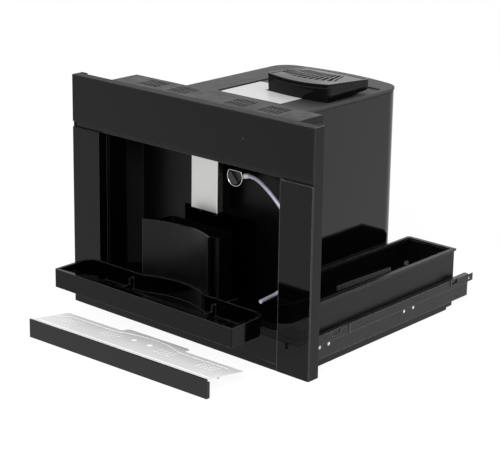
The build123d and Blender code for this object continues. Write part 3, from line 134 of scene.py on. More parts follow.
def lid_height(x, y, half, top):
    """Height of the lid's upper face at x to the right and y back from its middle.

    height = top - drop + rise * ramp + (crown - dip * ramp^3) * (1 - x^2) - slots - panel - rounding
    The ramp is the front share, and x is a share of the half width. The slots are bands of even angle about
    a point behind the lid, kept to two rings and an arc about that point. The panel is what lies inside the
    rim, and the rounding is that of the lid's outer edge.
    """
    drop, rise, crown, dip = 0.0095, 0.009, 0.0015, 0.0050
    slot_depth, panel_depth, rounding_depth = 0.0050, 0.0009, 0.0012
    ramp = front_share(y, half)
    middle = 1 - (x / half[0]) ** 2
    height = top - drop + rise * ramp + middle * (crown - dip * ramp ** 3)

    # slots: angle and distance about their point, with a half width and a slope that are shares of the pitch
    pitch, half_width, slope = np.radians(4.4), 0.29, 0.08
    half_arc, arc_slope = np.radians(24), np.radians(1)
    ring_places, ring_slope = ((0.118, 0.015), (0.152, 0.0165)), 0.0015
    pole_x, pole_y = -0.012, half[1] + 0.075
    angle = np.arctan2(x - pole_x, pole_y - y)
    far = np.hypot(x - pole_x, y - pole_y)
    band = np.abs((angle / pitch) % 1 - 0.5)
    slots = smooth_step((half_width - band) / slope)
    rings = sum(smooth_step((half_length - np.abs(far - centre)) / ring_slope)
                for centre, half_length in ring_places)
    arc = smooth_step((half_arc - np.abs(angle)) / arc_slope)

    rim_width, rim_slope, rounding_width = 0.0055, 0.002, 0.0015
    edge = np.minimum(half[0] - np.abs(x), half[1] - np.abs(y))
    panel = smooth_step((edge - rim_width) / rim_slope)
    rounding = (1 - smooth_step(edge / rounding_width)) ** 2
    return (height - slot_depth * slots * np.clip(rings, 0, 1) * arc - panel_depth * panel
            - rounding_depth * rounding)


# rings of the lid's side, down the outside with a groove under the rim, then up inside the wall:
# inset from the outline in metres, share of the way to the lower edge, and drop from there in metres
LID_SIDE = np.array([
    (0.0, 0.0, 0.0008), (0.0, 0.0, 0.0045), (0.0, 0.0, 0.0052), (0.0009, 0.0, 0.0056), (0.0009, 0.0, 0.0068),
    (0.0002, 0.0, 0.0072), (0.0004, 0.5, 0.0), (0.0012, 0.97, 0.0), (0.002, 1.0, 0.0), (0.0028, 1.0, 0.0),
    (0.0028, 0.0, 0.0075),
])


def lid_piece(name, low, high, bow):
    """A lid over a rectangle with round corners.

    Top: a grid whose heights lid_height gives.
    Sides: the grid's outline carried down and back up through the rings of LID_SIDE to the ceiling, which a
    pole closes. Their lower edge rises towards the back.
    Front: y moves forward by bow * (1 - x^2) * front share.
    """
    columns, rows = 176, 144
    corner, back_lift = 0.007, 0.007
    centre, half = (low[:2] + high[:2]) / 2, (high[:2] - low[:2]) / 2
    x, y = np.meshgrid(np.linspace(-half[0], half[0], columns), np.linspace(-half[1], half[1], rows),
                       indexing="ij")
    # round corners: the square at each corner goes to a quarter disc
    a = np.clip((np.abs(x) - half[0] + corner) / corner, 0, 1)
    b = np.clip((np.abs(y) - half[1] + corner) / corner, 0, 1)
    x = np.sign(x) * (np.minimum(np.abs(x), half[0] - corner) + corner * a * np.sqrt(1 - b * b / 2))
    y = np.sign(y) * (np.minimum(np.abs(y), half[1] - corner) + corner * b * np.sqrt(1 - a * a / 2))
    z = lid_height(x, y, half, high[2])

    def place(x, y, z):
        forward = bow * (1 - (x / half[0]) ** 2) * front_share(y, half)
        return np.stack([centre[0] + x, centre[1] + y - forward, z], axis=-1)

    top = place(x, y, z)
    index = np.arange(columns * rows).reshape(columns, rows)
    border = np.concatenate([index[:-1, 0], index[-1, :-1], index[:0:-1, -1], index[0, :0:-1]])
    outline = np.stack([x.ravel()[border], y.ravel()[border]], axis=1)
    upper = z.ravel()[border]
    lower = low[2] + back_lift * (1 - front_share(outline[:, 1], half))
    insets, shares, drops = LID_SIDE.T
    loops = outline[None] * (1 - insets[:, None, None] / half)
    heights = upper[None] * (1 - shares[:, None]) + lower[None] * shares[:, None] - drops[:, None]
    skirt = place(loops[..., 0], loops[..., 1], heights)
    ceiling = skirt[-1].mean(axis=0, keepdims=True)
    points = np.concatenate([top.reshape(-1, 3), skirt.reshape(-1, 3), ceiling])

    skirt_index = columns * rows + np.arange(heights.size).reshape(heights.shape)
    rings = np.concatenate([border[None], skirt_index])
    ahead = np.roll(rings, -1, axis=1)
    faces = quads(index[:-1, :-1], index[1:, :-1], index[1:, 1:], index[:-1, 1:])
    sides = quads(rings[:-1], rings[1:], ahead[1:], ahead[:-1])
    fan = np.stack([rings[-1], np.full(len(border), len(points) - 1), ahead[-1]], axis=-1)
    lid = mesh_object(name, points, faces.tolist() + sides.tolist() + fan.tolist())
    crease(lid, 50)
    return lid


def finish_edges(names, width):
    """Rounds the edges of solids that are sharper than an angle, or only creases them if the width is 0.

    The solids' loose triangles are welded first.
    """
    angle, weld_distance, full_weight = 35, 1e-5, 100
    for name in names:
        piece = NODES[name]
        piece.data.polygons.foreach_set("use_smooth", np.ones(len(piece.data.polygons), bool))
        piece.modifiers.new("weld", "WELD").merge_threshold = weld_distance
        if width:
            bevel = piece.modifiers.new("edges", "BEVEL")
            bevel.width = width
            bevel.segments = 2
            bevel.limit_method = "ANGLE"
            bevel.angle_limit = np.radians(angle)
            bevel.harden_normals = True
        crease(piece, angle)
        piece.modifiers.new("normals", "WEIGHTED_NORMAL").weight = full_weight


# ---------------------------------------------------------------- shader groups
def new_group(name, output, **inputs):
    """An empty shader group with its inputs by name, each with its default, and one output.

    Underscores in an input's name stand for spaces. Gives the group, its input node and its output node.
    """
    group = bpy.data.node_groups.new(name, "ShaderNodeTree")
    for label, value in inputs.items():
        kind = "NodeSocketVector" if isinstance(value, tuple) else "NodeSocketFloat"
        socket = group.interface.new_socket(name=label.replace("_", " "), in_out="INPUT", socket_type=kind)
        socket.default_value = value
    group.interface.new_socket(name=output, in_out="OUTPUT", socket_type="NodeSocketFloat")
    return group, group.nodes.new("NodeGroupInput"), group.nodes.new("NodeGroupOutput")


def maths(tree, operation, first, second, clamp=False):
    """The value of a maths node, whose inputs are numbers or other nodes' outputs."""
    node = tree.nodes.new("ShaderNodeMath")
    node.operation, node.use_clamp = operation, clamp
    for socket, value in zip(node.inputs, (first, second)):
        if isinstance(value, float):
            socket.default_value = value
        else:
            tree.links.new(value, socket)
    return node.outputs["Value"]


def mottle_group():
    """Cloudy variation between two values from soft noise on Object coordinates, for handling marks."""
    group, entry, leave = new_group("mottle", "Value", Scale=30.0, Low=0.0, High=1.0)
    nodes, link = group.nodes, group.links.new
    place = nodes.new("ShaderNodeTexCoord")
    noise = nodes.new("ShaderNodeTexNoise")
    noise.inputs["Detail"].default_value = 5.0
    noise.inputs["Roughness"].default_value = 0.6
    spread = nodes.new("ShaderNodeMapRange")
    spread.inputs["From Min"].default_value = 0.35
    spread.inputs["From Max"].default_value = 0.68
    link(place.outputs["Object"], noise.inputs["Vector"])
    link(entry.outputs["Scale"], noise.inputs["Scale"])
    link(noise.outputs["Fac"], spread.inputs["Value"])
    link(entry.outputs["Low"], spread.inputs["To Min"])
    link(entry.outputs["High"], spread.inputs["To Max"])
    link(spread.outputs["Result"], leave.inputs["Value"])
    return group


def grain_group():
    """Fine height grain from noise on Object coordinates, stretched along one axis for brushed metal."""
    group, entry, leave = new_group("grain", "Height", Scale=900.0, Stretch=(1.0, 1.0, 1.0))
    nodes, link = group.nodes, group.links.new
    place = nodes.new("ShaderNodeTexCoord")
    stretch = nodes.new("ShaderNodeVectorMath")
    stretch.operation = "MULTIPLY"
    noise = nodes.new("ShaderNodeTexNoise")
    noise.inputs["Detail"].default_value = 3.0
    link(place.outputs["Object"], stretch.inputs[0])
    link(entry.outputs["Stretch"], stretch.inputs[1])
    link(stretch.outputs["Vector"], noise.inputs["Vector"])
    link(entry.outputs["Scale"], noise.inputs["Scale"])
    link(noise.outputs["Fac"], leave.inputs["Height"])
    return group


def painted_highlight_group():
    """A mask for painted highlights: 1 along edges, where a paler colour stands in for glints of light.

    It grows with a gain as the normal, averaged over a small radius, leaves the face's own normal.
    """
    flat_limit = 0.99  # cosine of the angle between the two normals at which an edge begins
    group, entry, leave = new_group("edges", "Mask", Radius=0.0006, Gain=8.0)
    nodes, link = group.nodes, group.links.new
    rounded, face = nodes.new("ShaderNodeBevel"), nodes.new("ShaderNodeNewGeometry")
    rounded.samples = 6
    agree = nodes.new("ShaderNodeVectorMath")
    agree.operation = "DOT_PRODUCT"
    link(entry.outputs["Radius"], rounded.inputs["Radius"])
    link(rounded.outputs["Normal"], agree.inputs[0])
    link(face.outputs["Normal"], agree.inputs[1])
    differ = maths(group, "SUBTRACT", flat_limit, agree.outputs["Value"])
    link(maths(group, "MULTIPLY", differ, entry.outputs["Gain"], clamp=True), leave.inputs["Mask"])
    return group


def facing_group():
    """A roughness with more on faces that look up, and more on rounded corners.

    The amount on corners grows with a gain as the largest part of the normal falls below 1.
    """
    corner_gain, top_limit = 30.0, 0.9
    group, entry, leave = new_group("facing", "Value", Roughness=0.1, On_top=0.0, On_corners=0.0)
    nodes, link = group.nodes, group.links.new
    place, unsigned = nodes.new("ShaderNodeTexCoord"), nodes.new("ShaderNodeVectorMath")
    unsigned.operation = "ABSOLUTE"
    parts, signed = nodes.new("ShaderNodeSeparateXYZ"), nodes.new("ShaderNodeSeparateXYZ")
    link(place.outputs["Normal"], unsigned.inputs[0])
    link(unsigned.outputs["Vector"], parts.inputs["Vector"])
    link(place.outputs["Normal"], signed.inputs["Vector"])
    largest = maths(group, "MAXIMUM", parts.outputs["X"], parts.outputs["Y"])
    largest = maths(group, "MAXIMUM", largest, parts.outputs["Z"])
    turned = maths(group, "MULTIPLY", maths(group, "SUBTRACT", 1.0, largest), corner_gain)
    corner = maths(group, "MULTIPLY", maths(group, "MINIMUM", turned, 1.0), entry.outputs["On corners"])
    upward = maths(group, "GREATER_THAN", signed.outputs["Z"], top_limit)
    top = maths(group, "MULTIPLY", upward, entry.outputs["On top"])
    corner_roughness = maths(group, "ADD", entry.outputs["Roughness"], corner)
    link(maths(group, "ADD", corner_roughness, top), leave.inputs["Value"])
    return group


# ---------------------------------------------------------------- materials
def placed_group(tree, group, **inputs):
    """A node of a shader group, with numbers for its inputs by name. Underscores stand for spaces."""
    node = tree.nodes.new("ShaderNodeGroup")
    node.node_tree = group
    for label, value in inputs.items():
        node.inputs[label.replace("_", " ")].default_value = value
    return node


def blended(tree, mask, first, second):
    """The colour that goes from the first to the second, a tuple or a node's output, as a mask rises to 1."""
    factor, ends, result = 0, (6, 7), 2  # places of the Mix node's sockets when it blends colours
    mix = tree.nodes.new("ShaderNodeMix")
    mix.data_type = "RGBA"
    tree.links.new(mask, mix.inputs[factor])
    for end, colour in zip(ends, (first, second)):
        if isinstance(colour, tuple):
            mix.inputs[end].default_value = (*colour, 1)
        else:
            tree.links.new(colour, mix.inputs[end])
    return mix.outputs[result]


def darker(colour, share):
    """A share of a colour."""
    return tuple(part * share for part in colour)


def finish_material(name, colour, roughness, groups, metallic=0.0, spread=0.06, shade=0.85, mottle=25.0,
                    grain=900.0, stretch=(1, 1, 1), bump=0.02, alpha=1.0, transmission=0.0, specular=0.5,
                    edge=0.0, on_top=0.0, on_corners=0.0):
    """A finish.

    Its colour lies between a shade and itself, with a painted highlight along edges: a paler line of level
    edge that stands in for glints of light. Its roughness varies by a spread and grows on top faces and
    rounded corners, and it has a fine grain.
    """
    smear_scale, lowest_roughness, grain_height = 1.7, 0.02, 0.0005
    material = bpy.data.materials.new(name)
    material.use_nodes = True
    tree = material.node_tree
    surface, link = tree.nodes["Principled BSDF"], tree.links.new
    surface.inputs["Metallic"].default_value = metallic
    surface.inputs["Alpha"].default_value = alpha
    surface.inputs["Specular IOR Level"].default_value = specular
    surface.inputs["Transmission Weight"].default_value = transmission
    clouds = placed_group(tree, groups["mottle"], Scale=mottle)
    paint = blended(tree, clouds.outputs["Value"], darker(colour, shade), colour)
    # painted highlight: a paler colour of level edge along edges, standing in for glints of light on them
    if edge:
        highlight_lines = placed_group(tree, groups["edges"])
        paint = blended(tree, highlight_lines.outputs["Mask"], paint, (edge, edge, edge))
    link(paint, surface.inputs["Base Color"])
    smears = placed_group(tree, groups["mottle"], Scale=mottle * smear_scale,
                          Low=max(roughness - spread, lowest_roughness), High=min(roughness + spread, 1.0))
    facing = placed_group(tree, groups["facing"], On_top=on_top, On_corners=on_corners)
    link(smears.outputs["Value"], facing.inputs["Roughness"])
    link(facing.outputs["Value"], surface.inputs["Roughness"])
    texture = placed_group(tree, groups["grain"], Scale=grain, Stretch=stretch)
    relief = tree.nodes.new("ShaderNodeBump")
    relief.inputs["Strength"].default_value = bump
    relief.inputs["Distance"].default_value = grain_height
    link(texture.outputs["Height"], relief.inputs["Height"])
    link(relief.outputs["Normal"], surface.inputs["Normal"])
    return material


def seen_directly(tree):
    """1 for rays from the camera, a mirror or glass, and 0 for light that only brightens things."""
    path = tree.nodes.new("ShaderNodeLightPath").outputs
    seen = maths(tree, "MAXIMUM", path["Is Camera Ray"], path["Is Glossy Ray"])
    return maths(tree, "MAXIMUM", seen, path["Is Transmission Ray"])


def floor_material(glow, shine_level):
    """White floor.

    To the camera and in mirrors a share of it, the glow, shines at plain white, so its shadow stays faint.
    """
    material = bpy.data.materials.new("floor_white")
    material.use_nodes = True
    tree = material.node_tree
    nodes, link = tree.nodes, tree.links.new
    surface = nodes["Principled BSDF"]
    surface.inputs["Base Color"].default_value = (0.95, 0.95, 0.95, 1)
    surface.inputs["Roughness"].default_value = 0.6
    surface.inputs["Specular IOR Level"].default_value = 0.0
    shine, blend = nodes.new("ShaderNodeEmission"), nodes.new("ShaderNodeMixShader")
    shine.inputs["Strength"].default_value = shine_level
    link(maths(tree, "MULTIPLY", seen_directly(tree), glow), blend.inputs["Fac"])
    link(surface.outputs["BSDF"], blend.inputs[1])
    link(shine.outputs["Emission"], blend.inputs[2])
    link(blend.outputs["Shader"], nodes["Material Output"].inputs["Surface"])
    return material


def wear(piece, material):
    """Gives a piece one finish all over."""
    piece.data.materials.clear()
    piece.data.materials.append(material)


def make_finishes():
    """Every finish of the machine, by name, from its colour, its roughness and its other values."""
    # the group "edges" gives the mask of the painted highlight along edges
    groups = {"mottle": mottle_group(), "grain": grain_group(), "edges": painted_highlight_group(),
              "facing": facing_group()}
    looks = bpy.context.scene.coffee_finish
    black, satin = tuple(looks.gloss_black), tuple(looks.satin_black)
    moulded = dict(bump=0.001, grain=300)
    brushed = dict(grain=500, stretch=(1, 0.05, 1))
    finishes = {
        # edge is the level of a painted highlight along edges, a paler colour that stands in for glints of
        # light
        "gloss_black": (black, 0.06, dict(moulded, spread=0.02, specular=0.185, edge=0.10, on_top=0.45)),
        # the right pillar: gloss black with a brighter painted highlight along its edges
        "gloss_black_painted_glint": (black, 0.06, dict(moulded, spread=0.02, specular=0.185, edge=0.28, on_top=0.45)),
        "strip_black": (black, 0.10, dict(moulded, spread=0.02, specular=0.36)),
        "tray_black": (darker(black, 0.7), 0.08, dict(moulded, spread=0.03, specular=0.15, edge=0.12)),
        "shield_black": (black, 0.34, dict(spread=0.03, bump=0.002, grain=500, specular=0.21, edge=0.05)),
        "liner_black": (darker(black, 0.7), 0.30,
                        dict(spread=0.02, bump=0.001, specular=0.14, on_corners=0.7)),
        "dull_black": (darker(black, 0.6), 0.4, dict(spread=0.05, bump=0.002, specular=0.1)),
        "bay_black": (darker(black, 0.6), 0.6, dict(spread=0.05, bump=0.004, specular=0.0)),
        "cover_black": ((0.010, 0.010, 0.0112), 0.60,
                        dict(spread=0.04, bump=0.01, grain=1500, specular=0.82)),
        "vent_black": (satin, 0.42, dict(spread=0.05, bump=0.01, grain=1500, specular=0.24)),
        "lid_black": ((0.003, 0.003, 0.0035), 0.13, dict(moulded, spread=0.04, specular=0.13, edge=0.06)),
        "body_black": (satin, 0.06, dict(moulded, spread=0.02, specular=0.34)),
        "box_black": (satin, 0.34, dict(moulded, spread=0.03, specular=0.23, edge=0.35)),
        "painted_steel": (satin, 0.12, dict(spread=0.03, bump=0.001, grain=500, specular=0.2, edge=0.08)),
        "spout_silver": ((0.56, 0.56, 0.55), 0.30,
                         dict(metallic=1.0, spread=0.04, grain=500, stretch=(1, 1, 0.02), bump=0.01,
                              mottle=12, shade=0.94)),
        "spout_side": ((0.002, 0.002, 0.002), 0.35, dict(spread=0.04, bump=0.002, specular=0.12)),
        "stainless": ((0.84, 0.84, 0.84), 0.42,
                      dict(spread=0.05, specular=0.15, grain=500, stretch=(0.03, 1, 1), bump=0.01, mottle=15,
                           shade=0.97)),
        "chrome": ((0.55, 0.55, 0.56), 0.07, dict(metallic=1.0, spread=0.03, bump=0.002)),
        "bare_sheet": ((0.66, 0.66, 0.66), 0.45,
                       dict(metallic=0.1, spread=0.05, bump=0.01, shade=0.94, mottle=8)),
        "zinc": ((0.42, 0.42, 0.43), 0.33, dict(brushed, metallic=0.9, spread=0.08, mottle=60, shade=0.8)),
        "dark_zinc": ((0.030, 0.030, 0.032), 0.3,
                      dict(brushed, metallic=0.6, mottle=40, bump=0.002, specular=0.3, edge=0.4)),
        "bright_screw": ((0.8, 0.8, 0.8), 0.25, dict(metallic=1.0, spread=0.05, mottle=200)),
        "dark_grey": ((0.012, 0.012, 0.013), 0.4, dict(spread=0.05, bump=0.01, grain=1500, specular=0.3)),
        "hose_lilac": ((0.40, 0.40, 0.49), 0.3,
                       dict(spread=0.04, bump=0.002, transmission=0.25, mottle=80, shade=0.92)),
        "strip_grey": ((0.12, 0.12, 0.125), 0.35, dict(spread=0.05, bump=0.002, grain=500)),
        "tap_grey": ((0.015, 0.015, 0.015), 0.3, dict(spread=0.05, bump=0.01, mottle=90, specular=0.3)),
        "sleeve_grey": ((0.50, 0.50, 0.48), 0.4, dict(spread=0.05, bump=0.01, mottle=90)),
        "rubber": ((0.02, 0.02, 0.02), 0.7, dict(bump=0.05, grain=2000)),
        "smoked_plastic": ((0.12, 0.12, 0.13), 0.15, dict(spread=0.04, alpha=0.75)),
        "tank_black": (black, 0.4, dict(spread=0.05, bump=0.002, specular=0.03, alpha=0.95)),
        "white_plastic": ((0.75, 0.75, 0.74), 0.4, dict(bump=0.01, shade=0.95)),
        "board_green": ((0.02, 0.10, 0.05), 0.4, dict(mottle=300, shade=0.6, bump=0.05, grain=400)),
        "cast_alloy": ((0.5, 0.5, 0.51), 0.45, dict(metallic=0.9, bump=0.1, grain=400)),
        "steel": ((0.4, 0.4, 0.4), 0.35, dict(metallic=1.0, grain=400)),
    }
    return {name: finish_material(name, colour, roughness, groups, **more)
            for name, (colour, roughness, more) in finishes.items()}


# the solids that wear each finish
FINISH_OF = {
    "gloss_black": ("fascia_panel", "left_pillar", "bottom_bar"),
    # the right pillar wears gloss black with a brighter painted highlight along its edges
    "gloss_black_painted_glint": ("right_pillar",),
    "strip_black": ("front_strip",),
    "tray_black": ("drip_tray",),
    "shield_black": ("container_shield",),
    "liner_black": ("niche_liner",),
    "cover_black": ("top_cover",),
    "vent_black": ("vent_cover",),
    "lid_black": ("bean_lid",),
    "dull_black": ("grounds_container", "spout_guide"),
    "spout_side": ("spout_body",),
    "body_black": ("body_shell",),
    "box_black": ("side_compartment",),
    "painted_steel": ("carrier_frame", "base_plate"),
    "spout_silver": ("spout_front",),
    "stainless": ("cup_grate",),
    "chrome": ("connector_ring",),
    "bare_sheet": ("top_plate",),
    "bay_black": ("chassis_channel", "tray_track", "tray_float", "brew_unit", "brew_piston"),
    "zinc": ("grinder_bracket",),
    "dark_zinc": ("left_support", "left_outer_runner", "left_middle_runner", "left_inner_runner",
                  "right_outer_runner", "right_middle_runner", "right_inner_runner", "left_bracket",
                  "right_bracket"),
    "bright_screw": ("runner_screws",),
    "strip_grey": ("side_strip", "compartment_clip"),
    "tap_grey": ("connector_tap",),
    "dark_grey": ("steam_connector", "hose_clip", "status_light", "spout_nozzles", "mains_inlet",
                  "grinder_housing"),
    "rubber": ("lid_seal", "pump_mounts"),
    "smoked_plastic": ("bean_hopper",),
    "tank_black": ("water_tank",),
    "white_plastic": ("water_pipes",),
    "board_green": ("control_board", "power_board"),
    "cast_alloy": ("boiler",),
    "steel": ("grinder_motor", "grinder_burr", "pump"),
}
# the solids whose edges are rounded, all others having creases
ROUNDED = ("fascia_panel", "left_pillar", "bottom_bar", "front_strip", "drip_tray", "container_shield",
           "side_compartment", "spout_front", "vent_cover")
# the materials by name, which main makes
FINISHES = {}


# ---------------------------------------------------------------- settings
class CoffeeFinish(bpy.types.PropertyGroup):
    """Colours that several finishes share."""
    gloss_black: bpy.props.FloatVectorProperty(
        name="Gloss black", description="Colour of the front frame and tray", subtype="COLOR",
        size=3, min=0, max=1, default=(0.0006, 0.0006, 0.0008))
    satin_black: bpy.props.FloatVectorProperty(
        name="Satin black", description="Colour of the body and the side compartment", subtype="COLOR",
        size=3, min=0, max=1, default=(0.0022, 0.0022, 0.0026))


class CoffeeSizes(bpy.types.PropertyGroup):
    """Sizes of the shaped pieces and of the rounded edges, in metres."""
    edge: bpy.props.FloatProperty(
        name="Edge radius", description="Rounding of the moulded edges", unit="LENGTH", min=0, default=0.0006)
    hose_radius: bpy.props.FloatProperty(
        name="Hose radius", description="Outer radius of the steam hose", unit="LENGTH", min=0.001,
        default=0.0035)
    ring_wire: bpy.props.FloatProperty(
        name="Ring wire", description="Radius of the wire of the connector's ring", unit="LENGTH", min=0,
        default=0.0011)
    lid_bow: bpy.props.FloatProperty(
        name="Lid bow", description="How far the lid's front stands out in its middle", unit="LENGTH", min=0,
        default=0.008)


class CoffeeStudio(bpy.types.PropertyGroup):
    """Camera, lights and floor."""
    camera_place: bpy.props.FloatVectorProperty(
        name="Camera place", description="Where the camera stands", subtype="TRANSLATION", size=3,
        default=(1.9509, -2.0403, 1.1194))
    azimuth: bpy.props.FloatProperty(
        name="Azimuth", description="How far the camera stands round to the right, in degrees",
        default=41.344)
    elevation: bpy.props.FloatProperty(
        name="Elevation", description="How far the camera looks down, in degrees", default=15.524)
    roll: bpy.props.FloatProperty(
        name="Roll", description="Tilt of the camera about its own axis, in degrees", default=0.862)
    focal_pixels: bpy.props.FloatProperty(
        name="Focal length", description="Focal length in pixels of a 500 pixel wide picture",
        default=1627.98)
    axis_rise: bpy.props.FloatProperty(
        name="Axis rise", description="How far the optical axis lies above the picture's middle, in pixels",
        default=60.0)
    key_power: bpy.props.FloatProperty(
        name="Key light", description="Power of the large soft lamp", unit="POWER", default=102.0)
    fill_level: bpy.props.FloatProperty(
        name="Fill level", description="Strength of the even light all round", min=0, default=0.58)
    floor_glow: bpy.props.FloatProperty(
        name="Floor glow", description="Share of the floor that the camera sees as plain white", min=0, max=1,
        default=0.88)
    floor_shine: bpy.props.FloatProperty(
        name="Floor shine", description="Brightness of that plain white", min=0, default=1.05)


# ---------------------------------------------------------------- pieces
# the hose's line in millimetres, from the connector down behind the right pillar to its open end
HOSE_ROUTE = (
    (84.0, 70.8, 315.7), (101.7, 70.8, 319.2), (131.7, 70.8, 304.2), (161.7, 71.0, 280.2),
    (187.6, 71.0, 253.8), (203.5, 74.0, 226.8), (208.5, 79.0, 199.0), (204.0, 84.0, 171.0),
    (196.0, 81.5, 147.5), (184.5, 70.0, 128.5), (176.5, 50.0, 118.5), (178.9, 27.0, 118.5),
    (181.9, 4.0, 118.5),
)


class COFFEE_OT_steam_hose(bpy.types.Operator):
    """The milky steam hose, one smooth line from the connector to its open end."""
    bl_idname = "coffee.steam_hose"
    bl_label = "Steam hose"

    def execute(self, context):
        radius = context.scene.coffee_sizes.hose_radius
        curve = bpy.data.curves.new("steam_hose_line", "CURVE")
        curve.dimensions = "3D"
        spline = curve.splines.new("NURBS")
        route = np.array(HOSE_ROUTE) * MM
        spline.points.add(len(route) - 1)
        spline.points.foreach_set("co", np.column_stack([route, np.ones(len(route))]).ravel())
        spline.order_u = 3
        spline.use_endpoint_u = True
        spline.resolution_u = 10
        curve.bevel_depth = radius
        curve.bevel_resolution = 6
        curve.use_fill_caps = True
        hose = bpy.data.objects.new("steam_hose_soft", curve)
        context.scene.collection.objects.link(hose)
        wear(hose, FINISHES["hose_lilac"])
        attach(hose, "machine")
        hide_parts("steam_hose")
        return {"FINISHED"}


class COFFEE_OT_hose_sleeve(bpy.types.Operator):
    """The short tapered sleeve that holds the hose on the connector's spigot."""
    bl_idname = "coffee.hose_sleeve"
    bl_label = "Hose sleeve"

    def execute(self, context):
        start, ahead = (np.array(point) * MM for point in HOSE_ROUTE[:2])
        axis = (ahead - start) / np.linalg.norm(ahead - start)
        radius = context.scene.coffee_sizes.hose_radius
        # profile: distance along the hose and radius, out over the collar and back inside the hose's wall
        along = np.array([-4.0, -4.0, -3.5, 1.0, 1.4, 6.5, 8.0, 8.3, 8.3]) * MM
        reach = radius + np.array([-1.0, 1.3, 1.6, 1.5, 1.1, 0.9, 0.6, 0.3, -1.0]) * MM
        sleeve = turned_piece("hose_sleeve", start, axis, along, reach)
        wear(sleeve, FINISHES["sleeve_grey"])
        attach(sleeve, "machine")
        return {"FINISHED"}


class COFFEE_OT_connector_ring(bpy.types.Operator):
    """The bright wire ring round the steam connector, a round with one flat side."""
    bl_idname = "coffee.connector_ring"
    bl_label = "Connector ring"

    def execute(self, context):
        steps, softness = 120, 0.0008
        low, high = (np.array(corner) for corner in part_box("connector_ring"))
        wire = context.scene.coffee_sizes.ring_wire
        round_radius = (high[0] - low[0]) / 2 - wire
        centre = np.array([(low[0] + high[0]) / 2, (low[1] + high[1]) / 2, low[2] + wire + round_radius])
        flat = high[2] - wire - centre[2]
        # path: round the circle, with its height cut off at the flat side by a soft minimum
        turn = np.linspace(0, 2 * np.pi, steps, endpoint=False)
        x, z = round_radius * np.cos(turn), round_radius * np.sin(turn)
        z = flat - softness * np.log1p(np.exp((flat - z) / softness))
        path = centre + np.stack([x, np.zeros_like(x), z], axis=1)
        ring = wire_piece("connector_ring_wire", path, (0, 1, 0), wire)
        wear(ring, FINISHES["chrome"])
        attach(ring, "machine")
        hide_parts("connector_ring")
        return {"FINISHED"}


class COFFEE_OT_bean_lid(bpy.types.Operator):
    """The lid of the bean hopper, with a bowed front, a groove under its rim and a fan of slots."""
    bl_idname = "coffee.bean_lid"
    bl_label = "Bean lid"

    def execute(self, context):
        low, high = (np.array(corner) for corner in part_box("bean_lid"))
        lid = lid_piece("bean_lid_shaped", low, high, context.scene.coffee_sizes.lid_bow)
        wear(lid, FINISHES["lid_black"])
        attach(lid, "lid")
        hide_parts("bean_lid")
        return {"FINISHED"}


class COFFEE_OT_solids(bpy.types.Operator):
    """Finishes and rounded edges of the solids that stay as they are."""
    bl_idname = "coffee.solids"
    bl_label = "Solids"

    def execute(self, context):
        for finish, names in FINISH_OF.items():
            for name in names:
                wear(NODES[name], FINISHES[finish])
        finish_edges(ROUNDED, context.scene.coffee_sizes.edge)
        finish_edges([name for name in NODES if name not in ROUNDED], 0)
        return {"FINISHED"}


# ---------------------------------------------------------------- studio
def make_floor(studio):
    """A broad white sheet just below the feet."""
    reach, drop = 6.0, 0.0004
    corners = np.array([[[-reach, -reach, -drop], [-reach, reach, -drop]],
                        [[reach, -reach, -drop], [reach, reach, -drop]]])
    floor = grid_object("floor", corners)
    wear(floor, floor_material(studio.floor_glow, studio.floor_shine))


def make_lights(scene, studio):
    """Even light all round, plain white to the camera and in mirrors, and one large soft lamp."""
    lamp_size, lamp_place, lamp_aim = 1.6, (1.0, -2.15, 1.85), (0, 0.1, 0.2)
    world = bpy.data.worlds.new("studio")
    world.use_nodes = True
    scene.world = world
    tree = world.node_tree
    background, level = tree.nodes["Background"], tree.nodes.new("ShaderNodeMix")
    background.inputs["Color"].default_value = (1, 1, 1, 1)
    level.inputs["A"].default_value = studio.fill_level
    level.inputs["B"].default_value = 1.0
    tree.links.new(seen_directly(tree), level.inputs["Factor"])
    tree.links.new(level.outputs["Result"], background.inputs["Strength"])
    lamp = bpy.data.lights.new("key", "AREA")
    lamp.energy, lamp.size = studio.key_power, lamp_size
    key = bpy.data.objects.new("key", lamp)
    key.location = lamp_place
    key.rotation_euler = (Vector(lamp_aim) - key.location).to_track_quat("-Z", "Y").to_euler()
    scene.collection.objects.link(key)


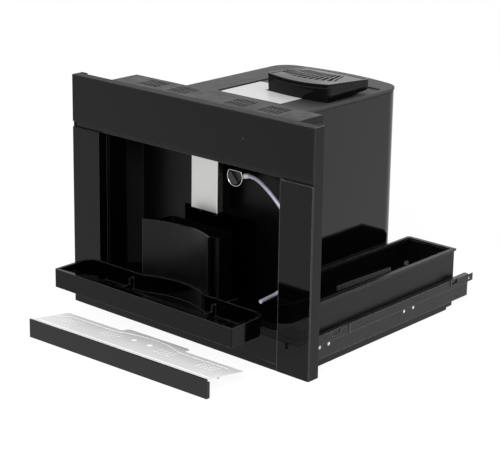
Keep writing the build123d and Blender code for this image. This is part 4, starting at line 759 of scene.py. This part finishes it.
def make_camera(scene, studio):
    """The camera, whose axes come from azimuth and elevation and are then turned by the roll."""
    a, e, r = np.radians([studio.azimuth, studio.elevation, studio.roll])
    back = Vector((np.sin(a) * np.cos(e), -np.cos(a) * np.cos(e), np.sin(e)))
    level_x = Vector((0, 0, 1)).cross(back).normalized()
    level_y = back.cross(level_x)
    x = np.cos(r) * level_x + np.sin(r) * level_y
    y = -np.sin(r) * level_x + np.cos(r) * level_y
    lens = bpy.data.cameras.new("camera")
    camera = bpy.data.objects.new("camera", lens)
    scene.collection.objects.link(camera)
    turn = Matrix((x, y, back)).transposed().to_4x4()
    camera.matrix_world = Matrix.Translation(Vector(studio.camera_place)) @ turn
    lens.sensor_width = 36.0
    lens.lens = lens.sensor_width * studio.focal_pixels / PHOTO_WIDTH
    lens.shift_y = -studio.axis_rise / PHOTO_WIDTH
    lens.clip_end = 100
    scene.camera = camera


class COFFEE_OT_studio(bpy.types.Operator):
    """Pale floor, even light, one large soft lamp and the camera."""
    bl_idname = "coffee.studio"
    bl_label = "Studio"

    def execute(self, context):
        scene, studio = context.scene, context.scene.coffee_studio
        make_floor(studio)
        make_lights(scene, studio)
        make_camera(scene, studio)
        scene.view_settings.view_transform = "Standard"
        return {"FINISHED"}


# ---------------------------------------------------------------- panel and start
class COFFEE_PT_panel(bpy.types.Panel):
    """Every setting, and a button for each group of pieces and for the studio."""
    bl_idname = "COFFEE_PT_panel"
    bl_label = "Coffee machine"
    bl_space_type = "VIEW_3D"
    bl_region_type = "UI"
    bl_category = "Coffee machine"

    def draw(self, context):
        for settings in ("coffee_finish", "coffee_sizes", "coffee_studio"):
            group = getattr(context.scene, settings)
            for name in group.__annotations__:
                self.layout.prop(group, name)
        for operator in OPERATORS:
            self.layout.operator(operator.bl_idname)


SETTINGS = (CoffeeFinish, CoffeeSizes, CoffeeStudio)
OPERATORS = (COFFEE_OT_studio, COFFEE_OT_steam_hose, COFFEE_OT_hose_sleeve, COFFEE_OT_connector_ring,
             COFFEE_OT_bean_lid, COFFEE_OT_solids)


def register():
    for item in (*SETTINGS, *OPERATORS, COFFEE_PT_panel):
        bpy.utils.register_class(item)
    bpy.types.Scene.coffee_finish = bpy.props.PointerProperty(type=CoffeeFinish)
    bpy.types.Scene.coffee_sizes = bpy.props.PointerProperty(type=CoffeeSizes)
    bpy.types.Scene.coffee_studio = bpy.props.PointerProperty(type=CoffeeStudio)


def unregister():
    for name in ("coffee_finish", "coffee_sizes", "coffee_studio"):
        delattr(bpy.types.Scene, name)
    for item in (COFFEE_PT_panel, *OPERATORS[::-1], *SETTINGS[::-1]):
        bpy.utils.unregister_class(item)


def main():
    """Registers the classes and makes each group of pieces."""
    register()
    FINISHES.update(make_finishes())
    for operator in OPERATORS:
        group, name = operator.bl_idname.split(".")
        getattr(getattr(bpy.ops, group), name)()


if __name__ == "__main__":
    main()
